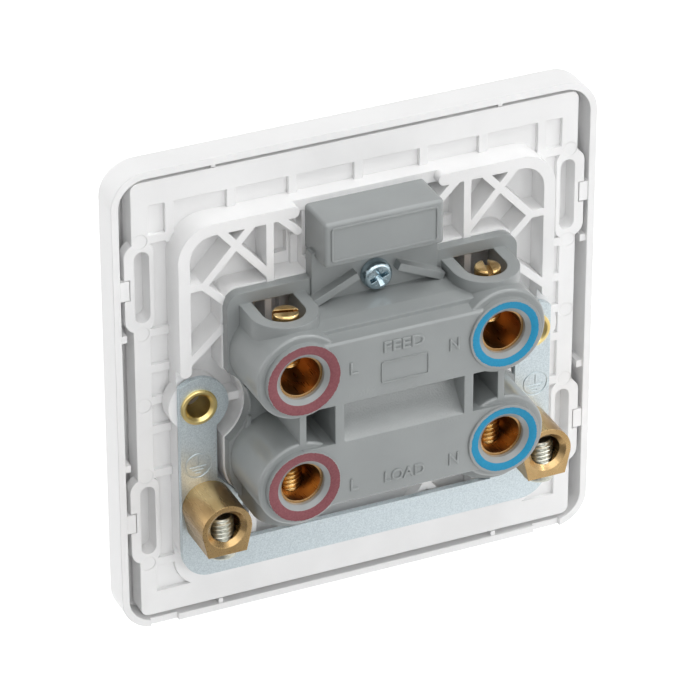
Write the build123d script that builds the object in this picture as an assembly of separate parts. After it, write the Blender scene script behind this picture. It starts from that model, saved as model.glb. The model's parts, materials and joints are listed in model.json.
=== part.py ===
"""Single gang double pole switch, 86 mm square, seen in its own wall frame.

X is to the right as seen from the room, Z is up, and the front of the switch faces -Y.
Y = 0 is the rear edge of the cover, where it meets the wall. All sizes are in millimetres.
"""
import os
from math import acos, atan2, cos, sin

from build123d import *

# Cover: a square tray with a rocker opening, clipped over the mounting plate
COVER_SIZE = 86.0
COVER_DEPTH = 6.8
COVER_CORNER_R = 6.0
COVER_EDGE_R = 1.6
COVER_WALL = 1.25
COVER_FRONT_WALL = 2.0
COVER_CLIP_Z = 22.05
COVER_CLIP_WIDTH = 3.5
COVER_CLIP_REACH = 1.6
COVER_GUSSET_Z = (13.0, -11.5)
COVER_GUSSET_REACH = 1.1
COVER_SPACER_X = 25.3
PRY_NOTCH_X = (33.0, 38.0)
PRY_NOTCH_DEPTH = 0.7

# Mounting plate: the white moulding behind the cover
PLATE_SIDE_GAP = 2.15
PLATE_TOP_GAP = 0.62
PLATE_BOTTOM_GAP = 1.05
PLATE_REAR_Y = -0.2
PLATE_THICKNESS = 2.0
PLATE_CORNER_R = 1.4
SKIRT_DEPTH = 1.7
SKIRT_WALL = 0.9
SLOT_FLOOR = 0.6
SLOT_CUP_WALL = 0.65
LOBE_GAP = 0.75
SLOT_INSET = 3.05
SLOT_RIM = 0.8
SLOT_Z = 22.1
SLOT_LENGTH = 13.0
SLOT_WIDTH = 2.6
LOBE_LENGTH = 16.4
CHANNEL_WIDTH = 3.2
CHANNEL_DEPTH = 0.7
CHANNEL_LOW_REACH = 2.8
CHANNEL_RIB = 1.5
PIN_MARK_R = 1.3
PIN_MARK_DEPTH = 0.08
PIN_MARK_INSET = 1.4
FRAME_OUTER = 33.5
FRAME_WALL = 2.1
FRAME_CORNER_R = 6.2
FRAME_HEIGHT = 4.4
FRAME_END_Z = 6.2
FRAME_GAP = 12.3
BRACE = 1.35
FIXING_SPACING = 60.3
FIXING_BORE_R = 2.05
FIXING_BOSS_R = 4.9
BOSS_TIE = 1.6
RECESS_X = (12.85, 16.8)
RECESS_Z = (23.2, 27.1)
RECESS_DEPTH = 1.15
SIDE_WALL_X = 11.1
SIDE_WALL = 0.8
PLATE_CLEARANCE = 0.15

# Terminal housing: the grey moulding with four round cable entries
FLANGE_HALF_WIDTH = 25.85
FLANGE_LEDGE = 0.3
FLANGE_TOP_Z = 20.8
FLANGE_FRONT_Y = 4.0
FLANGE_THICKNESS = 1.8
FLANGE_CORNER_R = 2.6
FLANGE_LOW_CORNER_R = 9.0
FLANGE_BITE_R = 7.85
FLANGE_RIM = 1.5
ENTRY_X = 17.9
ENTRY_Z = 10.0
BOSS_R = 7.65
BOSS_REAR_Y = 17.35
BOSS_EDGE_R = 0.45
ENTRY_RING_R = 6.4
ENTRY_RING_HEIGHT = 1.1
ENTRY_DIP_R = 5.3
ENTRY_DIP = 0.25
ENTRY_MOUTH_R = 4.6
ENTRY_THROAT_R = 3.85
ENTRY_CONE = 0.6
BAR_REAR_Y = 18.05
BAR_TOP_Z = 16.4
BAR_LEDGE_Y = 15.3
BAR_LEDGE_Z = 15.5
WINDOW_Y = 10.2
WINDOW_HALF_WIDTH = 3.65
COLLAR_WALL = 2.1
COLLAR_TOP_Z = 18.65
POCKET_HALF_WIDTH = 10.7
POCKET_TOP_Z = 3.7
POCKET_BOTTOM_Z = -3.5
POCKET_DEPTH = 5.0
WELL_INNER_X = 12.3
WELL_OUTER_X = 17.1
TIE_RIB = 1.2
WEB_REAR_Y = 6.2
WEB_HALF_WIDTH = 11.2
BLOCK_HALF_WIDTH = 10.53
BLOCK_FOOT_GAP = 2.27
BLOCK_TOP_GAP = 1.0
BLOCK_BORDER = 0.32
BLOCK_FRONT_Y = 2.3
BLOCK_REAR_Y = 10.1
BLOCK_WALL = 1.5
BLOCK_EDGE_R = 0.6
HOUSING_SCREW_Z = 19.5
HOUSING_SCREW_R = 1.5
HOUSING_SCREW_HEAD_R = 2.63
HOUSING_SCREW_HEAD_H = 1.9
CROSS_WIDTH = 0.85
CROSS_LENGTH = 3.3
CROSS_DEPTH = 1.2
HOUSING_SCREW_LENGTH = 6.2
HOUSING_BOSS_R = 2.9
MOULDING_WALL = 1.5

# Brass cable terminals, their clamp screws and the contacts behind them
TUNNEL_HALF = 4.6
TUNNEL_FRONT_Y = 6.2
TUNNEL_REAR_Y = 16.9
TUNNEL_BORE_R = 3.45
TUNNEL_END = 0.9
TUNNEL_CLEARANCE = 0.15
CLAMP_SCREW_Y = 11.2
CLAMP_SCREW_R = 2.4
CLAMP_HEAD_R = 2.2
CLAMP_HEAD_H = 2.2
CLAMP_HEAD_Z = 19.1
CLAMP_TIP_Z = 9.0
CLAMP_POINT = 1.0
CLAMP_SLOT = 0.85
CLAMP_SLOT_DEPTH = 1.2
SLOT_TURN = {(1, 1): -15.0, (-1, 1): 78.0, (1, -1): 35.0, (-1, -1): -50.0}
THREAD_CLEARANCE = 0.06

# Earth strap, eyelets, earth terminals and their screws
STRAP_REAR_Y = 3.6
STRAP_THICKNESS = 1.0
STRAP_OUTER_X = 33.5
STRAP_LEG = 6.45
STRAP_BOTTOM_Z = -32.85
STRAP_BAR_TOP_Z = -27.4
STRAP_EYE_R = 5.25
STRAP_CORNER_R = 5.0
STRAP_PAD_X = 22.7
STRAP_PAD_Z = -14.3
STRAP_RELIEF = 0.3
EYELET_R = 3.15
EYELET_LIP = 0.5
EYELET_ROLL = 0.5
EARTH_X = 29.05
EARTH_Z = -18.9
EARTH_R = 4.38
EARTH_REAR_Y = 12.3
EARTH_DROP = 4.8
EARTH_FOOT = 3.4
EARTH_BORE_R = 2.7
EARTH_MOUTH_R = 3.5
EARTH_SCREW_Y = 9.2
EARTH_SCREW_R = 2.3
EARTH_HEAD_R = 2.75
EARTH_HEAD_H = 1.5

# Rocker, plungers and see-saw contacts
ROCKER_WIDTH = 26.0
ROCKER_END_R = 19.0
ROCKER_AXIS_Y = -2.4
ROCKER_FRONT_Y = -9.0
ROCKER_DISH = 0.7
ROCKER_WALL = 1.5
ROCKER_REST_DEG = -7.0
ROCKER_GAP = 0.35
ROCKER_PIN_R = 1.2
ROCKER_PIN_REACH = 1.7
PIVOT_CLEARANCE = 0.04
PIN_END_CLEARANCE = 0.3
POLE_X = 7.5
SOCKET_R = 3.2
SOCKET_REAR_Y = 3.4
PLUNGER_R = 2.2
PLUNGER_TIP_Y = 6.6
PLUNGER_CLEARANCE = 0.05
PLUNGER_TRAVEL = 0.6
SPRING_R = 1.25
SPRING_WIRE_R = 0.22
BLADE_FRONT_Y = 7.0
BLADE_THICKNESS = 1.2
BLADE_HALF_WIDTH = 2.6
BLADE_TOP_Z = 10.6
BLADE_BOTTOM_Z = -4.6
BLADE_AXIS_Y = 8.6
BLADE_REST_DEG = 17.5
BLADE_SADDLE_R = 0.68
KNIFE_R = 0.6
TIP_R = 1.9
TIP_HEIGHT = 0.9
TIP_Z = 8.6
CONTACT_GAP = 0.05
STRIP = 1.2
STRIP_HALF_WIDTH = 3.0
STRIP_LOW_Z = 6.6
STRIP_HIGH_Z = 12.4
STRIP_CLEARANCE = 0.2
CONTACT_CAVITY_Z = 13.2

# Indicator behind the lens above the rocker
LENS_WIDTH = 8.0
LENS_HEIGHT = 3.0
LENS_PROUD = 0.2
LENS_FLANGE = 1.0
LAMP_FILL = 0.59
LAMP_LENGTH = 4.4
BOARD_THICKNESS = 1.2

SIDES = (-1, 1)


def rear_plane(y):
    """The X-Z plane at depth y, with its normal towards the room."""
    return Plane(origin=(0, y, 0), x_dir=(1, 0, 0), z_dir=(0, -1, 0))


def prism(outline, y_front, y_rear):
    """An X-Z outline made solid between two depths."""
    return extrude(rear_plane(y_rear) * outline, amount=y_rear - y_front)


def profile(points, x0, x1):
    """A closed Y-Z outline made solid between two X positions."""
    face = make_face(Polyline(*points, close=True))
    return extrude(Plane.YZ.offset(x0) * face, amount=x1 - x0)


def rect(x0, x1, z0, z1, radius=0.0):
    """An X-Z rectangle by its edges, with round corners where a radius is given."""
    width, height = abs(x1 - x0), abs(z1 - z0)
    if radius > 0:
        shape = RectangleRounded(width, height, radius)
    else:
        shape = Rectangle(width, height)
    return Pos((x0 + x1) / 2, (z0 + z1) / 2) * shape


def rod_y(radius, y_front, y_rear, x=0.0, z=0.0):
    """A round bar along Y."""
    return prism(Pos(x, z) * Circle(radius), y_front, y_rear)


def rod_z(radius, z0, z1, x=0.0, y=0.0):
    """A round bar along Z."""
    return extrude(Plane.XY.offset(min(z0, z1)) * (Pos(x, y) * Circle(radius)), amount=abs(z1 - z0))


def rod_x(radius, x0, x1, y=0.0, z=0.0):
    """A round bar along X."""
    return extrude(Plane.YZ.offset(min(x0, x1)) * (Pos(y, z) * Circle(radius)), amount=abs(x1 - x0))


def cone_y(r_front, r_rear, y_front, y_rear, x, z):
    """A round taper along Y."""
    faces = [rear_plane(y_front) * (Pos(x, z) * Circle(r_front)), rear_plane(y_rear) * (Pos(x, z) * Circle(r_rear))]
    return loft(faces)


def bar(start, end, width):
    """A straight rib seen from behind, with its ends square."""
    (x0, z0), (x1, z1) = start, end
    line = Line((x0, z0), (x1, z1))
    angle = line.tangent_angle_at(0)
    return Pos((x0 + x1) / 2, (z0 + z1) / 2) * Rot(0, 0, angle) * Rectangle(line.length, width)


def both(maker):
    """What a maker draws for the +X side, with its mirror image on the other side."""
    shape = maker()
    return shape + mirror(shape, Plane.YZ)


def tilt(shape, degrees, y, z=0.0):
    """Turn a shape about an X axis through (y, z)."""
    return shape.rotate(Axis((0, y, z), (1, 0, 0)), degrees)


# Sizes that follow from the ones above
COVER_HALF = COVER_SIZE / 2
COVER_INNER = COVER_HALF - COVER_WALL
COVER_INNER_FRONT_Y = COVER_FRONT_WALL - COVER_DEPTH
PLATE_HALF_WIDTH = COVER_INNER - PLATE_SIDE_GAP
PLATE_TOP_Z = COVER_INNER - PLATE_TOP_GAP
PLATE_BOTTOM_Z = PLATE_BOTTOM_GAP - COVER_INNER
LOBE_REACH = COVER_INNER - LOBE_GAP
SLOT_X = LOBE_REACH - SLOT_INSET
CHANNEL_OUTER = FRAME_OUTER + CHANNEL_WIDTH
CHANNEL_BOTTOM_Z = -FRAME_OUTER - CHANNEL_LOW_REACH
BLOCK_TOP_Z = FRAME_OUTER - BLOCK_TOP_GAP
BLOCK_BOTTOM_Z = HOUSING_SCREW_Z + HOUSING_SCREW_HEAD_R + BLOCK_FOOT_GAP
LENS_Z = (BLOCK_TOP_Z + BLOCK_BOTTOM_Z) / 2
LAMP_R = LAMP_FILL * ((BLOCK_TOP_Z - BLOCK_BOTTOM_Z) / 2 - BLOCK_WALL)
PLATE_FRONT_Y = PLATE_REAR_Y - PLATE_THICKNESS
FRAME_REAR_Y = PLATE_REAR_Y + FRAME_HEIGHT
FLANGE_REAR_Y = FLANGE_FRONT_Y + FLANGE_THICKNESS
STRAP_FRONT_Y = STRAP_REAR_Y - STRAP_THICKNESS
FIXING_X = FIXING_SPACING / 2
ENTRY_RING_Y = BOSS_REAR_Y + ENTRY_RING_HEIGHT
BLADE_REAR_Y = BLADE_FRONT_Y + BLADE_THICKNESS
FIXED_TIP_Y = BLADE_REAR_Y + TIP_HEIGHT + CONTACT_GAP
STRIP_FRONT_Y = FIXED_TIP_Y + TIP_HEIGHT
STRIP_REAR_Y = STRIP_FRONT_Y + STRIP
STRIP_TAB_REAR_Y = 14.6
ROCKER_HOLE_Z = ROCKER_END_R + ROCKER_GAP
ROCKER_HOLE_X = ROCKER_WIDTH / 2 + ROCKER_GAP
DECK_FRONT_Y = -0.4
DECK_REAR_Y = 1.2
DECK_HALF_X = ROCKER_WIDTH / 2 + 0.6
MECHANISM_HALF_Z = 7.5
SPRING_FRONT_Y = -4.6


def cover_plate():
    """The white front cover: a tray with soft edges, side clips and spacer ribs."""
    body = prism(RectangleRounded(COVER_SIZE, COVER_SIZE, COVER_CORNER_R), -COVER_DEPTH, 0)
    body = fillet(body.faces().sort_by(Axis.Y)[0].edges(), COVER_EDGE_R)
    inner = RectangleRounded(2 * COVER_INNER, 2 * COVER_INNER, COVER_CORNER_R - COVER_WALL)
    body -= prism(inner, COVER_INNER_FRONT_Y, 0)
    body -= prism(rect(-ROCKER_HOLE_X, ROCKER_HOLE_X, -ROCKER_HOLE_Z, ROCKER_HOLE_Z, 1.0), -COVER_DEPTH, 0)
    lens_hole = rect(-LENS_WIDTH / 2 - PLATE_CLEARANCE, LENS_WIDTH / 2 + PLATE_CLEARANCE,
                     LENS_Z - LENS_HEIGHT / 2 - PLATE_CLEARANCE, LENS_Z + LENS_HEIGHT / 2 + PLATE_CLEARANCE, 1.0)
    body -= prism(lens_hole, -COVER_DEPTH, 0)
    for side in SIDES:
        for level in SIDES:
            z = level * COVER_CLIP_Z
            clip = rect(side * (COVER_INNER - COVER_CLIP_REACH), side * COVER_INNER,
                        z - COVER_CLIP_WIDTH / 2, z + COVER_CLIP_WIDTH / 2)
            body += prism(clip, COVER_INNER_FRONT_Y, -0.15)
            edge = level * COVER_INNER
            reach = plate_edge_z(level) + level * PLATE_CLEARANCE
            body += prism(rect(side * COVER_SPACER_X - 0.4, side * COVER_SPACER_X + 0.4, reach, edge),
                          COVER_INNER_FRONT_Y, -0.15)
        for z in COVER_GUSSET_Z:
            gusset = rect(side * (COVER_INNER - COVER_GUSSET_REACH), side * COVER_INNER, z - 0.65, z + 0.65)
            body += prism(gusset, COVER_INNER_FRONT_Y, -0.5)
        notch = rect(side * PRY_NOTCH_X[0], side * PRY_NOTCH_X[1], -COVER_HALF - 1, -COVER_INNER + 0.5)
        body -= prism(notch, -PRY_NOTCH_DEPTH, 0.5)
    return body


def plate_edge_z(level):
    """The mounting plate's top or bottom edge."""
    return PLATE_TOP_Z if level > 0 else PLATE_BOTTOM_Z


def flange_outline(grow=0.0):
    """The housing flange seen from behind, with a round bite at each fixing hole."""
    half, top = FLANGE_HALF_WIDTH + grow, FLANGE_TOP_Z + grow
    outline = rect(-half, half, -top, top)
    corners = outline.vertices().sort_by(Axis.Y)
    outline = fillet(corners[:2], FLANGE_LOW_CORNER_R + grow)
    outline = fillet(outline.vertices().sort_by(Axis.Y)[-2:], FLANGE_CORNER_R + grow)
    for side in SIDES:
        outline -= Pos(side * FIXING_X, 0) * Circle(FLANGE_BITE_R - grow)
    return outline


def plate_outline():
    """The mounting plate with a lobe round each of its four long slots."""
    outline = rect(-PLATE_HALF_WIDTH, PLATE_HALF_WIDTH, PLATE_BOTTOM_Z, PLATE_TOP_Z, PLATE_CORNER_R)
    clip_half = COVER_CLIP_WIDTH / 2 + PLATE_CLEARANCE
    clip_edge = COVER_INNER - COVER_CLIP_REACH - PLATE_CLEARANCE
    for side in SIDES:
        for level in SIDES:
            z = level * SLOT_Z
            outline += rect(side * (SLOT_X - SLOT_WIDTH), side * LOBE_REACH, z - LOBE_LENGTH / 2, z + LOBE_LENGTH / 2, 2.4)
            outline -= Pos(side * SLOT_X, z) * SlotOverall(SLOT_LENGTH, SLOT_WIDTH, rotation=90)
    for side in SIDES:
        for level in SIDES:
            z = level * COVER_CLIP_Z
            outline -= rect(side * clip_edge, side * (LOBE_REACH + 1), z - clip_half, z + clip_half)
    return outline


def plate_skirt():
    """The skirt in front of the plate's edge and the closed pocket behind each long slot."""
    ring = rect(-PLATE_HALF_WIDTH, PLATE_HALF_WIDTH, PLATE_BOTTOM_Z, PLATE_TOP_Z, PLATE_CORNER_R)
    ring -= rect(-PLATE_HALF_WIDTH + SKIRT_WALL, PLATE_HALF_WIDTH - SKIRT_WALL,
                 PLATE_BOTTOM_Z + SKIRT_WALL, PLATE_TOP_Z - SKIRT_WALL, PLATE_CORNER_R - SKIRT_WALL)
    places = [Pos(side * SLOT_X, level * SLOT_Z) for side in SIDES for level in SIDES]
    wall = 2 * SLOT_CUP_WALL
    cups = Sketch() + [place * SlotOverall(SLOT_LENGTH + wall, SLOT_WIDTH + wall, rotation=90) for place in places]
    hollows = Sketch() + [place * SlotOverall(SLOT_LENGTH, SLOT_WIDTH, rotation=90) for place in places]
    front = PLATE_FRONT_Y - SKIRT_DEPTH
    body = prism(ring + cups, front, PLATE_FRONT_Y)
    return body - prism(hollows, front + SLOT_FLOOR, PLATE_FRONT_Y)


def channel_outline():
    """The shallow channel round the frame wall, broken by short ribs."""
    outline = rect(-CHANNEL_OUTER, CHANNEL_OUTER, CHANNEL_BOTTOM_Z, CHANNEL_OUTER)
    outline -= rect(-FRAME_OUTER, FRAME_OUTER, CHANNEL_BOTTOM_Z - 1, FRAME_OUTER, FRAME_CORNER_R)
    for side in SIDES:
        for level in SIDES:
            z = level * SLOT_Z
            rim = SLOT_X - SLOT_WIDTH / 2 - SLOT_RIM
            outline -= rect(side * rim, side * (LOBE_REACH + 1), z - LOBE_LENGTH / 2, z + LOBE_LENGTH / 2, 1.9)
        for share in (0.346, 0.666, 0.985):
            x = side * share * FRAME_OUTER
            outline -= rect(x - CHANNEL_RIB / 2, x + CHANNEL_RIB / 2, FRAME_OUTER - 4, CHANNEL_OUTER)
        for share in (0.913, 0.4, 0.197, 0.018, -0.146, -0.4, -0.913):
            z = share * FRAME_OUTER
            outline -= rect(side * (FRAME_OUTER - 1), side * CHANNEL_OUTER, z - CHANNEL_RIB / 2, z + CHANNEL_RIB / 2)
    outline -= rect(-CHANNEL_RIB / 2, CHANNEL_RIB / 2, FRAME_OUTER - 1, CHANNEL_OUTER)
    return outline


def frame_walls():
    """The raised square wall, tall above the fixing holes and low under the earth strap."""
    inner = FRAME_OUTER - FRAME_WALL
    ring = rect(-FRAME_OUTER, FRAME_OUTER, -FRAME_OUTER + 0.6, FRAME_OUTER, FRAME_CORNER_R)
    ring -= rect(-inner, inner, -inner + 0.6, inner, FRAME_CORNER_R - FRAME_WALL)
    upper = rect(-COVER_SIZE, COVER_SIZE, FRAME_END_Z + FRAME_WALL / 2, COVER_SIZE)
    tall = ring & upper
    for side in SIDES:
        tall += Pos(side * (FRAME_OUTER - FRAME_WALL / 2), FRAME_END_Z + FRAME_WALL / 2) * Circle(FRAME_WALL / 2)
    middle = FRAME_OUTER - FRAME_WALL / 2
    tall -= rect(-FRAME_GAP - FRAME_WALL / 2, FRAME_GAP + FRAME_WALL / 2, inner - 2, FRAME_OUTER + 1)
    for side in SIDES:
        tall += Pos(side * (FRAME_GAP + FRAME_WALL / 2), middle) * Circle(FRAME_WALL / 2)
    walls = prism(tall, PLATE_REAR_Y, FRAME_REAR_Y)
    walls += prism(ring, PLATE_REAR_Y, STRAP_FRONT_Y - PLATE_CLEARANCE * 2)
    return walls


def brace_outline():
    """The crossed ribs in the upper corners of the frame, on the +X side."""
    inner = FRAME_OUTER - FRAME_WALL / 2
    top = FRAME_OUTER - FRAME_WALL / 2
    node_x, node_z = 29.1, 22.5
    outline = bar((26.6, top), (17.5, 22.0), BRACE)
    outline += bar((node_x, node_z), (20.0, top), BRACE)
    outline += bar((17.5, top), (17.5, FLANGE_TOP_Z), BRACE)
    outline += bar((inner, node_z), (node_x - 0.3, node_z), BRACE)
    outline += bar((node_x, node_z), (25.4, 18.8), BRACE)
    outline += bar((16.2, top), (12.6, 28.9), BRACE) + Pos(12.6, 28.9) * Circle(BRACE / 2)
    outline += bar((inner, 8.2), (25.6, 14.4), BRACE)
    return outline


def lower_brace_outline():
    """The ribs between the housing and the lower frame wall, on the +X side."""
    low = -FRAME_OUTER + FRAME_WALL
    outline = bar((20.4, low), (20.4, -FLANGE_TOP_Z), BRACE)
    outline += bar((15.5, low), (7.5, -FLANGE_TOP_Z), BRACE)
    outline += bar((7.5, low), (15.5, -FLANGE_TOP_Z), BRACE)
    outline += bar((24.6, -FLANGE_TOP_Z + 1), (FRAME_OUTER - 2.5, -FRAME_OUTER + 7.0), BRACE)
    return outline


def plate_details():
    """Small ribs on the +X side: the tie to the fixing boss, the walls by the lamp block, the rib behind a window."""
    tie = rect(FIXING_X - FLANGE_BITE_R, FIXING_X - FIXING_BOSS_R + 0.3, -BOSS_TIE / 2, BOSS_TIE / 2)
    shape = prism(tie, PLATE_REAR_Y, STRAP_FRONT_Y)
    inner = SIDE_WALL_X - SIDE_WALL
    shape += prism(rect(inner, SIDE_WALL_X, FLANGE_TOP_Z - 0.4, BLOCK_TOP_Z - 1.2), PLATE_REAR_Y, BLOCK_FRONT_Y - 0.1)
    shape += prism(rect(inner, SIDE_WALL_X, FLANGE_TOP_Z - 0.4, FLANGE_TOP_Z + 2.4), PLATE_REAR_Y, FLANGE_FRONT_Y - 0.1)
    shape += prism(rect(SIDE_WALL_X - 0.1, 12.4, FLANGE_TOP_Z, 26.4), PLATE_REAR_Y, PLATE_REAR_Y + 0.7)
    stem = rect(ENTRY_X - 0.7, ENTRY_X + 0.5, ENTRY_Z + 3.0, FLANGE_TOP_Z - 0.5)
    return shape + prism(stem, PLATE_REAR_Y, FLANGE_FRONT_Y - 0.1)


def mounting_plate():
    """The white rear moulding that carries the rocker, the housing and the earth strap."""
    body = prism(plate_outline(), PLATE_FRONT_Y, PLATE_REAR_Y) + plate_skirt()
    body -= prism(channel_outline(), PLATE_REAR_Y - CHANNEL_DEPTH, PLATE_REAR_Y)
    body += frame_walls()
    surround = flange_outline(FLANGE_LEDGE) - flange_outline(-FLANGE_RIM)
    walls = prism(surround, PLATE_REAR_Y, FLANGE_FRONT_Y)
    relief = offset(strap_outline(), amount=STRAP_RELIEF, kind=Kind.INTERSECTION)
    body += walls - prism(relief, STRAP_FRONT_Y, FLANGE_FRONT_Y)
    body += both(lambda: prism(brace_outline() - flange_outline(), PLATE_REAR_Y, FRAME_REAR_Y))
    body += both(lambda: prism(lower_brace_outline() - flange_outline(), PLATE_REAR_Y, STRAP_FRONT_Y - 0.3))
    body += both(plate_details)
    recess = rect(*RECESS_X, *RECESS_Z)
    pins = [Pos(PLATE_HALF_WIDTH - PIN_MARK_INSET, z) * Circle(PIN_MARK_R) for z in (30.5, 13.5, 0.0, -13.5, -30.5)]
    body -= both(lambda: prism(recess, PLATE_REAR_Y - RECESS_DEPTH, PLATE_REAR_Y))
    body -= both(lambda: prism(Sketch() + pins, PLATE_REAR_Y - PIN_MARK_DEPTH, PLATE_REAR_Y))
    # The deck under the rocker, the window for the plungers and the lamp opening
    body -= prism(rect(-DECK_HALF_X, DECK_HALF_X, -ROCKER_HOLE_Z - 0.3, ROCKER_HOLE_Z + 0.3), PLATE_FRONT_Y, PLATE_REAR_Y)
    deck = rect(-DECK_HALF_X - 1.2, DECK_HALF_X + 1.2, -ROCKER_HOLE_Z - 1.0, ROCKER_HOLE_Z + 1.0)
    deck -= rect(-POLE_X - SOCKET_R - 0.7, POLE_X + SOCKET_R + 0.7, -MECHANISM_HALF_Z, MECHANISM_HALF_Z)
    body += prism(deck, DECK_FRONT_Y, DECK_REAR_Y)
    lens_hole = rect(-LENS_WIDTH / 2 - PLATE_CLEARANCE, LENS_WIDTH / 2 + PLATE_CLEARANCE,
                     LENS_Z - LENS_HEIGHT / 2 - PLATE_CLEARANCE, LENS_Z + LENS_HEIGHT / 2 + PLATE_CLEARANCE, 1.0)
    body -= prism(lens_hole, PLATE_FRONT_Y, PLATE_REAR_Y)
    for side in SIDES:
        body += prism(Pos(side * FIXING_X, 0) * Circle(FIXING_BOSS_R), PLATE_REAR_Y, STRAP_FRONT_Y)
        body -= rod_y(FIXING_BORE_R + 0.45, PLATE_FRONT_Y, STRAP_FRONT_Y, side * FIXING_X)
        body += bearing_lug(side)
        z = side * HOUSING_SCREW_Z
        body += rod_y(HOUSING_BOSS_R, DECK_FRONT_Y, FLANGE_FRONT_Y, 0, z)
    lug_outer = ROCKER_WIDTH / 2 + ROCKER_PIN_REACH + PIN_END_CLEARANCE
    body -= rod_x(ROCKER_PIN_R + PIVOT_CLEARANCE, -lug_outer, lug_outer, ROCKER_AXIS_Y)
    for side in SIDES:
        z = side * HOUSING_SCREW_Z
        body -= rod_y(HOUSING_SCREW_R + THREAD_CLEARANCE, WEB_REAR_Y - HOUSING_SCREW_LENGTH, FLANGE_FRONT_Y, 0, z)
    return body


def bearing_lug(side):
    """One cheek that carries a rocker pin, in front of the mounting plate."""
    inner = ROCKER_WIDTH / 2 + ROCKER_GAP
    outer = ROCKER_WIDTH / 2 + ROCKER_PIN_REACH + PIN_END_CLEARANCE
    half = ROCKER_PIN_R + 1.1
    top = COVER_INNER_FRONT_Y + PLATE_CLEARANCE
    block = profile([(top, -half), (top, half), (DECK_REAR_Y, half), (DECK_REAR_Y, -half)], inner, outer)
    return block if side > 0 else mirror(block, Plane.YZ)


def boss(level):
    """One cable entry on the +X side, from the flange to its raised ring."""
    z = level * ENTRY_Z
    body = rod_y(BOSS_R, FLANGE_FRONT_Y, BOSS_REAR_Y, ENTRY_X, z)
    body = fillet(body.faces().sort_by(Axis.Y)[-1].edges(), BOSS_EDGE_R)
    body += rod_y(ENTRY_RING_R, FLANGE_FRONT_Y, ENTRY_RING_Y, ENTRY_X, z)
    return body


def entry_throat(level):
    """The tapered mouth and short throat of one cable entry."""
    z = level * ENTRY_Z
    dip_y = ENTRY_RING_Y - ENTRY_DIP
    cut = cone_y(ENTRY_MOUTH_R, ENTRY_DIP_R, dip_y, ENTRY_RING_Y, ENTRY_X, z)
    cut += cone_y(ENTRY_THROAT_R, ENTRY_MOUTH_R, dip_y - ENTRY_CONE, dip_y, ENTRY_X, z)
    return cut + rod_y(ENTRY_THROAT_R, TUNNEL_REAR_Y - 0.1, dip_y - ENTRY_CONE, ENTRY_X, z)


def d_outline(half_width):
    """A D shape in plan: straight at the flange, round at the rear."""
    shape = Pos(ENTRY_X, WINDOW_Y) * Circle(half_width)
    length = WINDOW_Y - FLANGE_FRONT_Y
    return shape + Pos(ENTRY_X, FLANGE_FRONT_Y + length / 2) * Rectangle(2 * half_width, length)


def collar(level):
    """The raised collar round one clamp screw window."""
    plane = Plane.XY.offset(level * COLLAR_TOP_Z)
    face = plane * d_outline(WINDOW_HALF_WIDTH + COLLAR_WALL)
    return extrude(face, amount=-level * (COLLAR_TOP_Z - ENTRY_Z))


def window(level):
    """The opening over one clamp screw."""
    plane = Plane.XY.offset(level * (COLLAR_TOP_Z + 0.5))
    face = plane * (d_outline(WINDOW_HALF_WIDTH) & Pos(ENTRY_X, FLANGE_REAR_Y + 10) * Rectangle(20, 20))
    cut = extrude(face, amount=-level * (COLLAR_TOP_Z - ENTRY_Z - TUNNEL_HALF + 0.6))
    low = ENTRY_Z + TUNNEL_HALF
    gap = rect(ENTRY_X - WINDOW_HALF_WIDTH, ENTRY_X + WINDOW_HALF_WIDTH, level * low, level * COLLAR_TOP_Z)
    return cut + prism(gap, FLANGE_FRONT_Y - 0.1, FLANGE_REAR_Y + 0.2)


def bar_section(level):
    """The Y-Z outline of one centre bar, with the stepped ledge along its edge."""
    inner = POCKET_TOP_Z if level > 0 else -POCKET_BOTTOM_Z
    points = [(FLANGE_FRONT_Y, inner), (BAR_REAR_Y, inner), (BAR_REAR_Y, BAR_LEDGE_Z - 0.6),
              (BAR_REAR_Y - 0.35, BAR_LEDGE_Z - 0.3), (BAR_LEDGE_Y, BAR_LEDGE_Z), (BAR_LEDGE_Y, BAR_TOP_Z - 0.15),
              (BAR_LEDGE_Y - 3.0, BAR_TOP_Z + 0.25), (FLANGE_REAR_Y, BAR_TOP_Z), (FLANGE_FRONT_Y, BAR_TOP_Z)]
    return [(y, level * z) for y, z in points]


def pocket_ramp():
    """The curved floor of the pocket between the bars."""
    floor = BAR_REAR_Y - POCKET_DEPTH
    start, mid, end = (BAR_REAR_Y, POCKET_BOTTOM_Z), (floor + 1.3, 0.4), (floor, POCKET_TOP_Z)
    base = floor - MOULDING_WALL
    edges = [ThreePointArc(start, mid, end), Line(end, (base, POCKET_TOP_Z)), Line((base, POCKET_TOP_Z), (base, 0.0)),
             Line((base, 0.0), (BAR_REAR_Y - 2 * MOULDING_WALL, POCKET_BOTTOM_Z)),
             Line((BAR_REAR_Y - 2 * MOULDING_WALL, POCKET_BOTTOM_Z), start)]
    half = WELL_INNER_X
    return extrude(Plane.YZ.offset(-half) * make_face(edges), amount=2 * half)


def tunnel_cavity(level):
    """The room for one brass terminal and its contact strip, open to the front."""
    half = TUNNEL_HALF + TUNNEL_CLEARANCE
    z = level * ENTRY_Z
    room = rect(ENTRY_X - half, ENTRY_X + half, z - half, z + half)
    cut = prism(room, FLANGE_FRONT_Y - 0.1, TUNNEL_REAR_Y)
    strip = rect(POLE_X, ENTRY_X, level * (STRIP_LOW_Z - STRIP_CLEARANCE), level * (STRIP_HIGH_Z + STRIP_CLEARANCE))
    return cut + prism(strip, FLANGE_FRONT_Y - 0.1, STRIP_TAB_REAR_Y + STRIP_CLEARANCE)


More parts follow.
